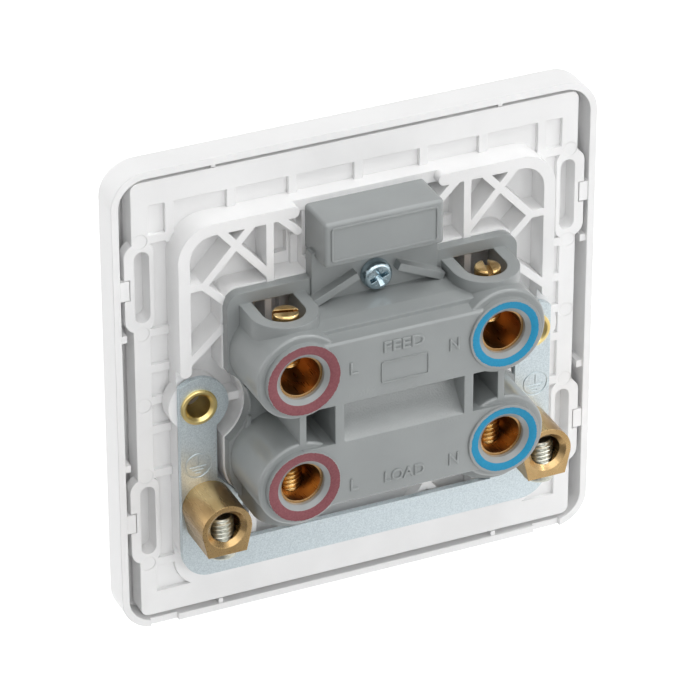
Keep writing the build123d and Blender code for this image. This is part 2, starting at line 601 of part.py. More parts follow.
def terminal_housing():
    """The grey rear housing: flange, four cable entries, two bars, web and lamp block."""
    body = prism(flange_outline(), FLANGE_FRONT_Y, FLANGE_REAR_Y)
    for level in SIDES:
        body += both(lambda: boss(level) + collar(level))
        body += profile(bar_section(level), -ENTRY_X, ENTRY_X)
    body += prism(rect(-WEB_HALF_WIDTH, WEB_HALF_WIDTH, BAR_TOP_Z - 1, BLOCK_BOTTOM_Z + 1), FLANGE_FRONT_Y, WEB_REAR_Y)
    # Upright walls and the tie ribs that join the upper and lower entries
    for side in SIDES:
        body += prism(rect(side * POCKET_HALF_WIDTH, side * WELL_INNER_X, -4.5, 4.5), FLANGE_FRONT_Y, BAR_REAR_Y)
        body += prism(rect(side * WELL_OUTER_X, side * (WELL_OUTER_X + TIE_RIB), -4.5, 4.5), FLANGE_FRONT_Y, BOSS_REAR_Y)
    body += pocket_ramp()
    body += lamp_block()
    # The inside: the see-saw chamber, the terminal rooms, the entries and the windows
    chamber = rect(-POCKET_HALF_WIDTH - 0.2, POCKET_HALF_WIDTH + 0.2, -CONTACT_CAVITY_Z, CONTACT_CAVITY_Z)
    body -= prism(chamber, FLANGE_FRONT_Y - 0.1, BAR_REAR_Y - POCKET_DEPTH - MOULDING_WALL)
    for level in SIDES:
        depth = rect(-POCKET_HALF_WIDTH - 0.2, POCKET_HALF_WIDTH + 0.2, level * 5.2, level * CONTACT_CAVITY_Z)
        body -= prism(depth, FLANGE_FRONT_Y, BAR_LEDGE_Y - 1.2)
        body -= both(lambda: tunnel_cavity(level) + entry_throat(level) + window(level))
    for side in SIDES:
        body -= rod_y(HOUSING_SCREW_R + 0.15, FLANGE_FRONT_Y, WEB_REAR_Y, 0, side * HOUSING_SCREW_Z)
        body += web_rib(side)
    return body + both(flange_lip)


def flange_lip():
    """The thin curved lip and the small tooth at the edge of the flange's bite, on the +X side."""
    band = Pos(FIXING_X, 0) * (Circle(FLANGE_BITE_R + 0.35) - Circle(FLANGE_BITE_R))
    lip = prism(band & rect(FIXING_X - 9, FIXING_X - 6, -1.4, 3.4), FLANGE_FRONT_Y, FLANGE_REAR_Y + 0.6)
    tooth = Polygon((22.2, -4.2), (23.0, -5.1), (23.3, -5.0), (22.5, -2.2), (22.0, -2.2), align=None)
    return lip + prism(tooth, FLANGE_FRONT_Y, FLANGE_REAR_Y + 0.6)


def web_rib(side):
    """One slanted rib between the top screw and a clamp screw window."""
    outline = bar((side * 3.6, 20.5), (side * 11.6, 16.9), 1.35)
    return prism(outline, WEB_REAR_Y - 0.2, WEB_REAR_Y + 1.8)


def lamp_block():
    """The hollow block for the indicator lamp, with its bare raised panel."""
    outer = rect(-BLOCK_HALF_WIDTH, BLOCK_HALF_WIDTH, BLOCK_BOTTOM_Z, BLOCK_TOP_Z)
    body = prism(outer, BLOCK_FRONT_Y, BLOCK_REAR_Y)
    edges = body.faces().sort_by(Axis.Y)[-1].edges()
    body = fillet(edges + body.edges().filter_by(Axis.Y), BLOCK_EDGE_R)
    panel = rect(-BLOCK_HALF_WIDTH + 1.1, BLOCK_HALF_WIDTH - 1.1, BLOCK_BOTTOM_Z + 0.9, BLOCK_TOP_Z - 0.9, 0.6)
    body += prism(panel - offset(panel, amount=-BLOCK_BORDER), BLOCK_REAR_Y - 0.1, BLOCK_REAR_Y + 0.18)
    inner = rect(-BLOCK_HALF_WIDTH + BLOCK_WALL, BLOCK_HALF_WIDTH - BLOCK_WALL,
                 BLOCK_BOTTOM_Z + BLOCK_WALL, BLOCK_TOP_Z - BLOCK_WALL)
    return body - prism(inner, BLOCK_FRONT_Y, BLOCK_REAR_Y - BLOCK_WALL)


def terminal(side, level):
    """One brass tunnel terminal with its cable bore and tapped hole."""
    x, z = side * ENTRY_X, level * ENTRY_Z
    body = prism(rect(x - TUNNEL_HALF, x + TUNNEL_HALF, z - TUNNEL_HALF, z + TUNNEL_HALF, 1.0), TUNNEL_FRONT_Y, TUNNEL_REAR_Y)
    body -= rod_y(TUNNEL_BORE_R, TUNNEL_FRONT_Y + TUNNEL_END, TUNNEL_REAR_Y, x, z)
    return body - rod_z(CLAMP_SCREW_R + THREAD_CLEARANCE, z, level * (ENTRY_Z + TUNNEL_HALF + 1), x, CLAMP_SCREW_Y)


def clamp_screw(side, level):
    """One slotted clamp screw: a threaded shank under a smaller turned head."""
    x = side * ENTRY_X
    neck = CLAMP_HEAD_Z - CLAMP_HEAD_H
    body = rod_z(CLAMP_SCREW_R, level * CLAMP_TIP_Z, level * neck, x, CLAMP_SCREW_Y)
    tip = body.faces().sort_by(Axis.Z)[0 if level > 0 else -1]
    body = chamfer(tip.edges(), CLAMP_POINT)
    body += rod_z(CLAMP_HEAD_R, level * neck, level * CLAMP_HEAD_Z, x, CLAMP_SCREW_Y)
    edge = body.faces().sort_by(Axis.Z)[-1 if level > 0 else 0].edges()
    body = fillet(edge, 0.25)
    slot = Box(2 * CLAMP_HEAD_R + 1, CLAMP_SLOT, 2 * CLAMP_SLOT_DEPTH)
    return body - Pos(x, CLAMP_SCREW_Y, level * CLAMP_HEAD_Z) * Rot(0, 0, SLOT_TURN[(side, level)]) * slot


def feed_contact(side):
    """The copper strip that carries the fixed tip, joined to the feed terminal."""
    inner, outer = POLE_X - STRIP_HALF_WIDTH, ENTRY_X - TUNNEL_HALF
    pad = rect(inner, POLE_X + STRIP_HALF_WIDTH, TIP_Z - STRIP_HALF_WIDTH, STRIP_HIGH_Z)
    plate = prism(pad + rect(inner, outer, STRIP_LOW_Z, STRIP_HIGH_Z), STRIP_FRONT_Y, STRIP_REAR_Y)
    plate += prism(rect(outer - STRIP, outer, STRIP_LOW_Z, STRIP_HIGH_Z), STRIP_FRONT_Y, STRIP_TAB_REAR_Y)
    return plate if side > 0 else mirror(plate, Plane.YZ)


def load_bracket(side):
    """The copper bracket with the knife edge that the see-saw rocks on."""
    outer = ENTRY_X - TUNNEL_HALF
    half = BLADE_HALF_WIDTH - 0.4
    x0, x1 = POLE_X - half, POLE_X + half
    wedge = [(STRIP_REAR_Y, KNIFE_R), (BLADE_AXIS_Y, KNIFE_R / 2), (BLADE_AXIS_Y, -KNIFE_R / 2), (STRIP_REAR_Y, -KNIFE_R)]
    plate = profile(wedge, x0, x1) + rod_x(KNIFE_R, x0, x1, BLADE_AXIS_Y)
    stem = rect(x0, x1, -STRIP_HIGH_Z, KNIFE_R) + rect(x0, outer, -STRIP_HIGH_Z, -STRIP_LOW_Z)
    plate += prism(stem, STRIP_FRONT_Y, STRIP_REAR_Y)
    plate += prism(rect(outer - STRIP, outer, -STRIP_HIGH_Z, -STRIP_LOW_Z), STRIP_FRONT_Y, STRIP_TAB_REAR_Y)
    return plate if side > 0 else mirror(plate, Plane.YZ)


def moving_contact(side):
    """The copper see-saw: a straight blade with a round saddle across its back, shown open."""
    x0, x1 = side * POLE_X - BLADE_HALF_WIDTH, side * POLE_X + BLADE_HALF_WIDTH
    points = [(BLADE_FRONT_Y, BLADE_BOTTOM_Z), (BLADE_FRONT_Y, BLADE_TOP_Z), (BLADE_REAR_Y, BLADE_TOP_Z),
              (BLADE_REAR_Y, 1.5), (BLADE_AXIS_Y, 1.5), (BLADE_AXIS_Y, -1.5), (BLADE_REAR_Y, -1.5),
              (BLADE_REAR_Y, BLADE_BOTTOM_Z)]
    blade = profile(points, x0, x1)
    blade -= rod_x(BLADE_SADDLE_R, x0, x1, BLADE_AXIS_Y)
    return tilt(blade, BLADE_REST_DEG, BLADE_AXIS_Y)


def moving_tip(side):
    """The silver tip riveted to the see-saw."""
    tip = rod_y(TIP_R, BLADE_REAR_Y, BLADE_REAR_Y + TIP_HEIGHT, side * POLE_X, TIP_Z)
    return tilt(tip, BLADE_REST_DEG, BLADE_AXIS_Y)


def fixed_tip(side):
    """The silver tip riveted to the feed strip."""
    return rod_y(TIP_R, FIXED_TIP_Y, STRIP_FRONT_Y, side * POLE_X, TIP_Z)


def rocker():
    """The white rocker: a dished face, skirts, two pivot pins and two plunger sockets."""
    half = ROCKER_WIDTH / 2
    front, dish = ROCKER_FRONT_Y, ROCKER_DISH
    skirt_y = ROCKER_AXIS_Y - 1.1
    reach = ROCKER_END_R
    outline = make_face([ThreePointArc((front, -reach), (front + dish, 0), (front, reach)),
                         Line((front, reach), (skirt_y, reach)), Line((skirt_y, reach), (skirt_y, -reach)),
                         Line((skirt_y, -reach), (front, -reach))])
    disk = Pos(ROCKER_AXIS_Y, 0) * Circle(reach)
    body = extrude(Plane.YZ.offset(-half) * (outline & disk), amount=2 * half)
    hollow = make_face([ThreePointArc((front + ROCKER_WALL, -reach), (front + dish + ROCKER_WALL, 0), (front + ROCKER_WALL, reach)),
                        Line((front + ROCKER_WALL, reach), (skirt_y + 1, reach)), Line((skirt_y + 1, reach), (skirt_y + 1, -reach)),
                        Line((skirt_y + 1, -reach), (front + ROCKER_WALL, -reach))])
    hollow &= Pos(ROCKER_AXIS_Y, 0) * Circle(reach - ROCKER_WALL)
    body -= extrude(Plane.YZ.offset(-half + ROCKER_WALL) * hollow, amount=2 * (half - ROCKER_WALL))
    for side in SIDES:
        cheek = profile([(skirt_y - 0.5, -2.6), (skirt_y - 0.5, 2.6), (ROCKER_AXIS_Y, 1.5), (ROCKER_AXIS_Y, -1.5)],
                        half - ROCKER_WALL, half)
        cheek += rod_x(1.5, half - ROCKER_WALL, half, ROCKER_AXIS_Y)
        cheek += rod_x(ROCKER_PIN_R, half - ROCKER_WALL, half + ROCKER_PIN_REACH, ROCKER_AXIS_Y)
        body += cheek if side > 0 else mirror(cheek, Plane.YZ)
        body += rod_y(SOCKET_R, front + dish + 0.5, SOCKET_REAR_Y, side * POLE_X)
    for side in SIDES:
        body -= rod_y(PLUNGER_R + PLUNGER_CLEARANCE, SPRING_FRONT_Y, SOCKET_REAR_Y, side * POLE_X)
    return tilt(body, ROCKER_REST_DEG, ROCKER_AXIS_Y)


def plunger(side):
    """The round nosed plunger that slides in the rocker's socket."""
    x = side * POLE_X
    nose = PLUNGER_TIP_Y - PLUNGER_R
    body = rod_y(PLUNGER_R, -1.4, nose, x) + Pos(x, nose, 0) * Sphere(PLUNGER_R)
    body -= rod_y(SPRING_R + SPRING_WIRE_R + 0.15, -1.4, nose - 1.0, x)
    return tilt(body, ROCKER_REST_DEG, ROCKER_AXIS_Y)


def plunger_spring(side):
    """The coil spring between the socket's end and the plunger."""
    start, end = SPRING_FRONT_Y + 0.05, PLUNGER_TIP_Y - PLUNGER_R - 1.05
    turns = 5
    length = end - start - 2 * SPRING_WIRE_R
    path = Helix(length / turns, length, SPRING_R)
    wire = sweep(Plane(path @ 0, z_dir=path % 0) * Circle(SPRING_WIRE_R), path=path)
    body = Pos(side * POLE_X, start + SPRING_WIRE_R, 0) * (Rot(-90, 0, 0) * wire)
    return tilt(body, ROCKER_REST_DEG, ROCKER_AXIS_Y)


def strap_outline():
    """The strap seen from behind, with no holes."""
    inner = STRAP_OUTER_X - STRAP_LEG
    outline = rect(-STRAP_OUTER_X, STRAP_OUTER_X, STRAP_BOTTOM_Z, 0)
    outline = fillet(outline.vertices().sort_by(Axis.Y)[:2], STRAP_CORNER_R)
    pad_low = STRAP_PAD_Z - (inner - STRAP_PAD_X)
    half = [(inner, 10), (inner, STRAP_PAD_Z), (STRAP_PAD_X, pad_low), (STRAP_PAD_X, STRAP_BAR_TOP_Z)]
    outline -= Polygon(*half, *[(-x, z) for x, z in reversed(half)], align=None)
    for side in SIDES:
        eye = Pos(side * FIXING_X, 0) * Circle(STRAP_EYE_R)
        outline += eye & rect(-STRAP_OUTER_X, STRAP_OUTER_X, -10, 10)
    return outline


def earth_strap():
    """The zinc plated steel strap: a wide U that joins both fixing holes and earth terminals."""
    body = prism(strap_outline(), STRAP_FRONT_Y, STRAP_REAR_Y)
    for side in SIDES:
        body -= rod_y(FIXING_BORE_R + 0.45, STRAP_FRONT_Y, STRAP_REAR_Y, side * FIXING_X)
    return body


def eyelet(side):
    """One brass eyelet rolled over the strap round a fixing hole."""
    x = side * FIXING_X
    body = rod_y(FIXING_BORE_R + 0.4, PLATE_REAR_Y - 0.6, STRAP_REAR_Y, x)
    lip = rod_y(EYELET_R, STRAP_REAR_Y, STRAP_REAR_Y + EYELET_LIP, x)
    body += fillet(lip.faces().sort_by(Axis.Y)[-1].edges(), 0.22)
    rear = STRAP_REAR_Y + EYELET_LIP
    body -= rod_y(FIXING_BORE_R, PLATE_FRONT_Y, EARTH_REAR_Y, x)
    return body - cone_y(FIXING_BORE_R, FIXING_BORE_R + EYELET_ROLL, rear - EYELET_ROLL, rear, x, 0)


def earth_terminal(side):
    """One brass earth terminal: round above, square below, with a countersunk bore."""
    x = side * EARTH_X
    reach = Vector(EARTH_FOOT, -EARTH_DROP).length
    angle = atan2(-EARTH_DROP, EARTH_FOOT) + acos(EARTH_R / reach)
    touch = (EARTH_R * cos(angle), EARTH_R * sin(angle))
    foot = Polygon((-touch[0], touch[1]), (-EARTH_FOOT, -EARTH_DROP), (EARTH_FOOT, -EARTH_DROP), touch, align=None)
    outline = Pos(x, EARTH_Z) * (Circle(EARTH_R) + foot)
    body = prism(outline, STRAP_REAR_Y, EARTH_REAR_Y)
    body -= rod_y(EARTH_BORE_R, STRAP_REAR_Y + 1.5, EARTH_REAR_Y, x, EARTH_Z)
    depth = EARTH_MOUTH_R - EARTH_BORE_R
    body -= cone_y(EARTH_BORE_R, EARTH_MOUTH_R, EARTH_REAR_Y - depth, EARTH_REAR_Y, x, EARTH_Z)
    return body - rod_z(EARTH_SCREW_R + THREAD_CLEARANCE, EARTH_Z - EARTH_DROP - 1, EARTH_Z, x, EARTH_SCREW_Y)


def earth_screw(side):
    """One slotted steel screw that clamps the earth wire from below."""
    x = side * EARTH_X
    seat = EARTH_Z - EARTH_DROP - 0.2
    body = rod_z(EARTH_SCREW_R, seat, EARTH_Z + EARTH_BORE_R - 1.5, x, EARTH_SCREW_Y)
    head = rod_z(EARTH_HEAD_R, seat - EARTH_HEAD_H, seat, x, EARTH_SCREW_Y)
    body += fillet(head.faces().sort_by(Axis.Z)[0].edges(), 0.8)
    slot = Pos(x, EARTH_SCREW_Y, seat - EARTH_HEAD_H) * Box(2 * EARTH_HEAD_R + 1, 0.8, 1.4)
    return body - slot


def housing_screw(side):
    """One cross recessed screw that holds the housing to the mounting plate."""
    z = side * HOUSING_SCREW_Z
    body = rod_y(HOUSING_SCREW_R, WEB_REAR_Y - HOUSING_SCREW_LENGTH + 0.3, WEB_REAR_Y, 0, z)
    head = rod_y(HOUSING_SCREW_HEAD_R, WEB_REAR_Y, WEB_REAR_Y + HOUSING_SCREW_HEAD_H, 0, z)
    body += fillet(head.faces().sort_by(Axis.Y)[-1].edges(), 0.7)
    cross = rect(-CROSS_LENGTH / 2, CROSS_LENGTH / 2, z - CROSS_WIDTH / 2, z + CROSS_WIDTH / 2)
    cross += rect(-CROSS_WIDTH / 2, CROSS_WIDTH / 2, z - CROSS_LENGTH / 2, z + CROSS_LENGTH / 2)
    rear = WEB_REAR_Y + HOUSING_SCREW_HEAD_H
    return body - prism(cross, rear - CROSS_DEPTH, rear + 0.1)


def indicator_lens():
    """The clear lens that carries the lamp's light to the front."""
    outline = rect(-LENS_WIDTH / 2, LENS_WIDTH / 2, LENS_Z - LENS_HEIGHT / 2, LENS_Z + LENS_HEIGHT / 2, 0.9)
    body = prism(outline, -COVER_DEPTH - LENS_PROUD, PLATE_REAR_Y)
    flange = rect(-LENS_WIDTH / 2 - LENS_FLANGE, LENS_WIDTH / 2 + LENS_FLANGE,
                  LENS_Z - LENS_HEIGHT / 2 - LENS_FLANGE, LENS_Z + LENS_HEIGHT / 2 + LENS_FLANGE, 0.9)
    return body + prism(flange, PLATE_FRONT_Y - 1.0, PLATE_FRONT_Y)


def indicator_board():
    """The small circuit board in the lamp block."""
    half_x = BLOCK_HALF_WIDTH - BLOCK_WALL - 0.2
    z0, z1 = BLOCK_BOTTOM_Z + BLOCK_WALL + 0.2, BLOCK_TOP_Z - BLOCK_WALL - 0.2
    rear = BLOCK_REAR_Y - BLOCK_WALL
    return prism(rect(-half_x, half_x, z0, z1), rear - BOARD_THICKNESS, rear)


def indicator_lamp():
    """The small lamp on the board, facing the lens."""
    base = BLOCK_REAR_Y - BLOCK_WALL - BOARD_THICKNESS
    body = rod_y(LAMP_R, base - LAMP_LENGTH, base, 0, LENS_Z)
    return body + Pos(0, base - LAMP_LENGTH, LENS_Z) * Sphere(LAMP_R)


def main():
    """Write one STEP file for each piece."""
    os.makedirs("parts", exist_ok=True)
    pieces = {
        "cover_plate": cover_plate(),
        "mounting_plate": mounting_plate(),
        "terminal_housing": terminal_housing(),
        "earth_strap": earth_strap(),
        "rocker": rocker(),
        "indicator_lens": indicator_lens(),
        "indicator_board": indicator_board(),
        "indicator_lamp": indicator_lamp(),
        "housing_screw_top": housing_screw(1),
        "housing_screw_bottom": housing_screw(-1),
    }
    for side, pole in ((1, "live"), (-1, "neutral")):
        pieces["feed_terminal_" + pole] = terminal(side, 1)
        pieces["load_terminal_" + pole] = terminal(side, -1)
        pieces["feed_screw_" + pole] = clamp_screw(side, 1)
        pieces["load_screw_" + pole] = clamp_screw(side, -1)
        pieces["feed_contact_" + pole] = feed_contact(side)
        pieces["load_bracket_" + pole] = load_bracket(side)
        pieces["moving_contact_" + pole] = moving_contact(side)
        pieces["moving_tip_" + pole] = moving_tip(side)
        pieces["fixed_tip_" + pole] = fixed_tip(side)
        pieces["plunger_" + pole] = plunger(side)
        pieces["plunger_spring_" + pole] = plunger_spring(side)
    for side, hand in ((1, "right"), (-1, "left")):
        pieces["eyelet_" + hand] = eyelet(side)
        pieces["earth_terminal_" + hand] = earth_terminal(side)
        pieces["earth_screw_" + hand] = earth_screw(side)
    for name, shape in pieces.items():
        export_step(shape, "parts/" + name + ".step")


main()
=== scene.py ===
"""Looks of a single gang double pole switch, seen from behind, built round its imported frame."""
from __future__ import annotations

import json
import logging
import math
import random
from dataclasses import dataclass
from enum import Enum
from functools import partial
from typing import Callable, ClassVar, Iterable

import bmesh
import bpy
from mathutils import Matrix, Vector

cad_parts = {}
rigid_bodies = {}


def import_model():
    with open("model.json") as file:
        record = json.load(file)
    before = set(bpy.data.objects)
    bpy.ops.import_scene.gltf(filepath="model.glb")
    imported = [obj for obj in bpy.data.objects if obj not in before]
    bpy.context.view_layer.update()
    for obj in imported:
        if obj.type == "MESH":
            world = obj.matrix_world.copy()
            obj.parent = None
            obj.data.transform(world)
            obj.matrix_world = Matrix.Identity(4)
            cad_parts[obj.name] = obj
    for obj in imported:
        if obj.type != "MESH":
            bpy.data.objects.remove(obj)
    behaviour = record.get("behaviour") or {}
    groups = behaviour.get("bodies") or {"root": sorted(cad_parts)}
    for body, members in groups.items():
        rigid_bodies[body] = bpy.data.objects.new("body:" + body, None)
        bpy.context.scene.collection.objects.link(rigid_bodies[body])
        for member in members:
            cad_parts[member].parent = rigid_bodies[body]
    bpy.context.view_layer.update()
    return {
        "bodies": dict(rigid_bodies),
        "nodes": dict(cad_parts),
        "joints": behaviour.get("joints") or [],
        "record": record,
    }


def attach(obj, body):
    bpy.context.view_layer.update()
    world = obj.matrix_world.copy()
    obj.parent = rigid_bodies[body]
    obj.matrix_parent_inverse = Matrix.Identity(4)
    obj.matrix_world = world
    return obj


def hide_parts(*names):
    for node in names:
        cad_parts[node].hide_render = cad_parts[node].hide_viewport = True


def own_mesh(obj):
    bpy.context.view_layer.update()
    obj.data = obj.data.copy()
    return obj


LOG = logging.getLogger("switch")
MM = 0.001
BEVEL_SAMPLES = 6
MERGE_MM = 0.0005
Drawing = Callable[[bmesh.types.BMesh], None]
Started = tuple[bpy.types.Material, bpy.types.NodeTree, bpy.types.Node, bpy.types.NodeSocket]


class Pole(Enum):
    """The two switched poles, with the side of X that each is on."""

    LIVE = ("live", 1)
    NEUTRAL = ("neutral", -1)

    @property
    def label(self) -> str:
        """The word used in node names."""
        return self.value[0]

    @property
    def side(self) -> int:
        """The sign of X."""
        return self.value[1]


class End(Enum):
    """The two ends of a pole: the supply above and the load below."""

    FEED = ("feed", 1)
    LOAD = ("load", -1)

    @property
    def label(self) -> str:
        """The word used in node names."""
        return self.value[0]

    @property
    def level(self) -> int:
        """The sign of Z."""
        return self.value[1]


def linear(code: str) -> tuple[float, float, float, float]:
    """Turn an sRGB hex value into linear colour.

    Args:
        code: six hex digits after a hash mark.

    Returns:
        Red, green, blue and alpha.
    """
    parts = [int(code[i:i + 2], 16) / 255 for i in (1, 3, 5)]
    values = [p / 12.92 if p <= 0.04045 else ((p + 0.055) / 1.055) ** 2.4 for p in parts]
    return (*values, 1.0)


def add_node(tree: bpy.types.NodeTree, kind: str, inputs: dict | None = None,
             stops: Iterable[tuple[float, str]] = (), **settings: object) -> bpy.types.Node:
    """Add one node with its settings and its input values or links.

    Args:
        tree: the node tree that takes it.
        kind: the node's type name.
        inputs: socket name or index, to a plain value, an output, or a node that gives its first output.
        stops: the place of each end of a colour ramp, with its sRGB hex value.
        settings: the node's own attributes.

    Returns:
        The new node.
    """
    node = tree.nodes.new(kind)
    for key, value in settings.items():
        setattr(node, key, value)
    for number, (place, code) in enumerate(stops):
        end = node.color_ramp.elements[number]
        end.position, end.color = place, linear(code)
    for key, value in (inputs or {}).items():
        source = value.outputs[0] if isinstance(value, bpy.types.Node) else value
        if isinstance(source, bpy.types.NodeSocket):
            tree.links.new(source, node.inputs[key])
        else:
            node.inputs[key].default_value = source
    return node


def start_finish(name: str) -> Started:
    """Start the material of a finish.

    Args:
        name: the material's name.

    Returns:
        The material, its node tree, its shader, and the socket that gives the place on the piece.
    """
    material = bpy.data.materials.new(name)
    material.use_nodes = True
    tree = material.node_tree
    place = add_node(tree, "ShaderNodeTexCoord").outputs["Object"]
    return material, tree, tree.nodes["Principled BSDF"], place


def vary_gloss(tree: bpy.types.NodeTree, shader: bpy.types.Node, pattern: bpy.types.Node, roughness: float,
               spread: tuple[float, float]) -> None:
    """Let the roughness follow a pattern.

    Args:
        tree: the material's node tree.
        shader: its shader.
        pattern: the node that gives the pattern.
        roughness: the finish's plain roughness.
        spread: what the pattern's low and high ends add to it.
    """
    gloss = add_node(tree, "ShaderNodeMapRange", {"Value": pattern, "To Min": roughness + spread[0],
                                                  "To Max": roughness + spread[1]})
    tree.links.new(gloss.outputs[0], shader.inputs["Roughness"])


def raise_pattern(tree: bpy.types.NodeTree, shader: bpy.types.Node, pattern: bpy.types.Node,
                  strength: float | bpy.types.Node, rise_mm: float, edge_mm: float | None) -> None:
    """Raise a pattern as fine relief and soften the edges.

    Args:
        tree: the material's node tree.
        shader: its shader.
        pattern: the node that gives the height.
        strength: how much of the relief shows.
        rise_mm: the relief's full height.
        edge_mm: radius of the softened edges, or None where they stay sharp.
    """
    inputs = {"Strength": strength, "Distance": rise_mm * MM, "Height": pattern}
    if edge_mm is not None:
        inputs["Normal"] = add_node(tree, "ShaderNodeBevel", {"Radius": edge_mm * MM}, samples=BEVEL_SAMPLES)
    bump = add_node(tree, "ShaderNodeBump", inputs)
    tree.links.new(bump.outputs[0], shader.inputs["Normal"])


@dataclass(frozen=True)
class MouldedPlastic:
    """Injection moulded thermoplastic with a fine spark-eroded grain and soft moulded edges.

    The eye gets a broad satin shine, faint clouds in the colour and light caught along every edge. The real
    grain is under a tenth of a millimetre, and it is drawn three times as coarse, because it wouldn't show.
    """

    name: str
    light: str
    dark: str
    roughness: float = 0.42
    gloss_spread: tuple[float, float] = (-0.04, 0.05)
    cloud_mm: float = 9.0
    grain_mm: float = 0.28
    grain_depth: float = 0.10
    grain_rise_mm: float = 0.08
    edge_mm: float = 0.22
    skin: float = 0.0
    skin_roughness: float = 0.12
    coarse_mm: tuple[float, float, float] | None = None
    coarse_depth: float = 0.75

    def coarse_share(self, tree: bpy.types.NodeTree, place: bpy.types.NodeSocket) -> bpy.types.Node:
        """Tell the sunk band between the bars, where the mould was left coarser, from the rest.

        Args:
            tree: the material's node tree.
            place: gives the place on the piece.

        Returns:
            A node that gives 1 inside the band and 0 outside.
        """
        half_x, low_z, high_z = (v * MM for v in self.coarse_mm)
        axes = add_node(tree, "ShaderNodeSeparateXYZ", {0: place})
        wide = add_node(tree, "ShaderNodeMath", {0: axes.outputs[0], 1: 0.0, 2: half_x}, operation="COMPARE")
        tall = add_node(tree, "ShaderNodeMath", {0: axes.outputs[2], 1: (low_z + high_z) / 2,
                                                 2: (high_z - low_z) / 2}, operation="COMPARE")
        return add_node(tree, "ShaderNodeMath", {0: wide, 1: tall}, operation="MULTIPLY")

    def build(self) -> bpy.types.Material:
        """Make the material."""
        material, tree, shader, place = start_finish(self.name)
        cloud = add_node(tree, "ShaderNodeTexNoise", {"Vector": place, "Scale": 1 / (self.cloud_mm * MM),
                                                      "Detail": 3.0})
        grain = add_node(tree, "ShaderNodeTexNoise", {"Vector": place, "Scale": 1 / (self.grain_mm * MM),
                                                      "Detail": 2.0})
        tint = add_node(tree, "ShaderNodeValToRGB", {0: cloud}, stops=((0.35, self.dark), (0.65, self.light)))
        tree.links.new(tint.outputs[0], shader.inputs["Base Color"])
        vary_gloss(tree, shader, cloud, self.roughness, self.gloss_spread)
        depth = self.grain_depth
        if self.coarse_mm:
            depth = add_node(tree, "ShaderNodeMath", {0: self.coarse_share(tree, place), 1: self.coarse_depth,
                                                      2: self.grain_depth}, operation="MULTIPLY_ADD")
        raise_pattern(tree, shader, grain, depth, self.grain_rise_mm, self.edge_mm)
        shader.inputs["Coat Weight"].default_value = self.skin
        shader.inputs["Coat Roughness"].default_value = self.skin_roughness
        return material


@dataclass(frozen=True)
class PlatedSteel:
    """Steel with electroplated zinc.

    The eye gets a pale blue grey with a soft, broad shine, mottled by the plating's crystals. The real ones
    are far under a tenth of a millimetre, and they are drawn as coarse as they need to show.
    """

    name: str
    light: str
    dark: str
    roughness: float = 0.38
    gloss_spread: tuple[float, float] = (-0.08, 0.10)
    grain_mm: float = 0.30
    grain_depth: float = 0.35
    grain_rise_mm: float = 0.03
    edge_mm: float = 0.10
    bare: float = 1.0

    def build(self) -> bpy.types.Material:
        """Make the material."""
        material, tree, shader, place = start_finish(self.name)
        shader.inputs["Metallic"].default_value = self.bare
        grain = add_node(tree, "ShaderNodeTexNoise", {"Vector": place, "Scale": 1 / (self.grain_mm * MM),
                                                      "Detail": 4.0})
        tint = add_node(tree, "ShaderNodeValToRGB", {0: grain}, stops=((0.3, self.dark), (0.7, self.light)))
        tree.links.new(tint.outputs[0], shader.inputs["Base Color"])
        vary_gloss(tree, shader, grain, self.roughness, self.gloss_spread)
        raise_pattern(tree, shader, grain, self.grain_depth, self.grain_rise_mm, self.edge_mm)
        return material


@dataclass(frozen=True)
class DrawnMetal:
    """Brass, copper or silver alloy, drawn as bar or wire and cut on a lathe.

    The eye gets a warm metal shine that is broken up along the marks, and large soft stains. Real tool marks
    are about 0.1 mm apart, and they are drawn several times as coarse, because they wouldn't show.
    """

    name: str
    light: str
    dark: str
    roughness: float = 0.28
    gloss_spread: tuple[float, float] = (-0.08, 0.12)
    mark_mm: tuple[float, float, float] = (0.25, 4.0, 0.25)
    mark_depth: float = 0.25
    mark_rise_mm: float = 0.05
    edge_mm: float = 0.12
    stain_mm: float = 2.5

    def build(self) -> bpy.types.Material:
        """Make the material."""
        material, tree, shader, place = start_finish(self.name)
        shader.inputs["Metallic"].default_value = 1.0
        stretch = add_node(tree, "ShaderNodeMapping", {"Vector": place,
                                                       "Scale": [1 / (size * MM) for size in self.mark_mm]})
        marks = add_node(tree, "ShaderNodeTexNoise", {"Vector": stretch, "Scale": 1.0, "Detail": 3.0})
        stain = add_node(tree, "ShaderNodeTexNoise", {"Vector": place, "Scale": 1 / (self.stain_mm * MM),
                                                      "Detail": 3.0})
        tint = add_node(tree, "ShaderNodeValToRGB", {0: stain}, stops=((0.3, self.dark), (0.62, self.light)))
        tree.links.new(tint.outputs[0], shader.inputs["Base Color"])
        vary_gloss(tree, shader, marks, self.roughness, self.gloss_spread)
        raise_pattern(tree, shader, marks, self.mark_depth, self.mark_rise_mm, self.edge_mm)
        return material


@dataclass(frozen=True)
class FoilPrint:
    """Hot foil pressed on the plastic: a flat satin colour with a slight mottle."""

    name: str
    light: str
    dark: str
    roughness: float = 0.5
    shine: float = 0.35
    mottle_mm: float = 0.35
    mottle_depth: float = 0.2
    mottle_rise_mm: float = 0.02

    def build(self) -> bpy.types.Material:
        """Make the material."""
        material, tree, shader, place = start_finish(self.name)
        shader.inputs["Roughness"].default_value = self.roughness
        shader.inputs["Specular IOR Level"].default_value = self.shine
        mottle = add_node(tree, "ShaderNodeTexNoise", {"Vector": place, "Scale": 1 / (self.mottle_mm * MM),
                                                       "Detail": 5.0})
        tint = add_node(tree, "ShaderNodeValToRGB", {0: mottle}, stops=((0.3, self.dark), (0.7, self.light)))
        tree.links.new(tint.outputs[0], shader.inputs["Base Color"])
        raise_pattern(tree, shader, mottle, self.mottle_depth, self.mottle_rise_mm, None)
        return material


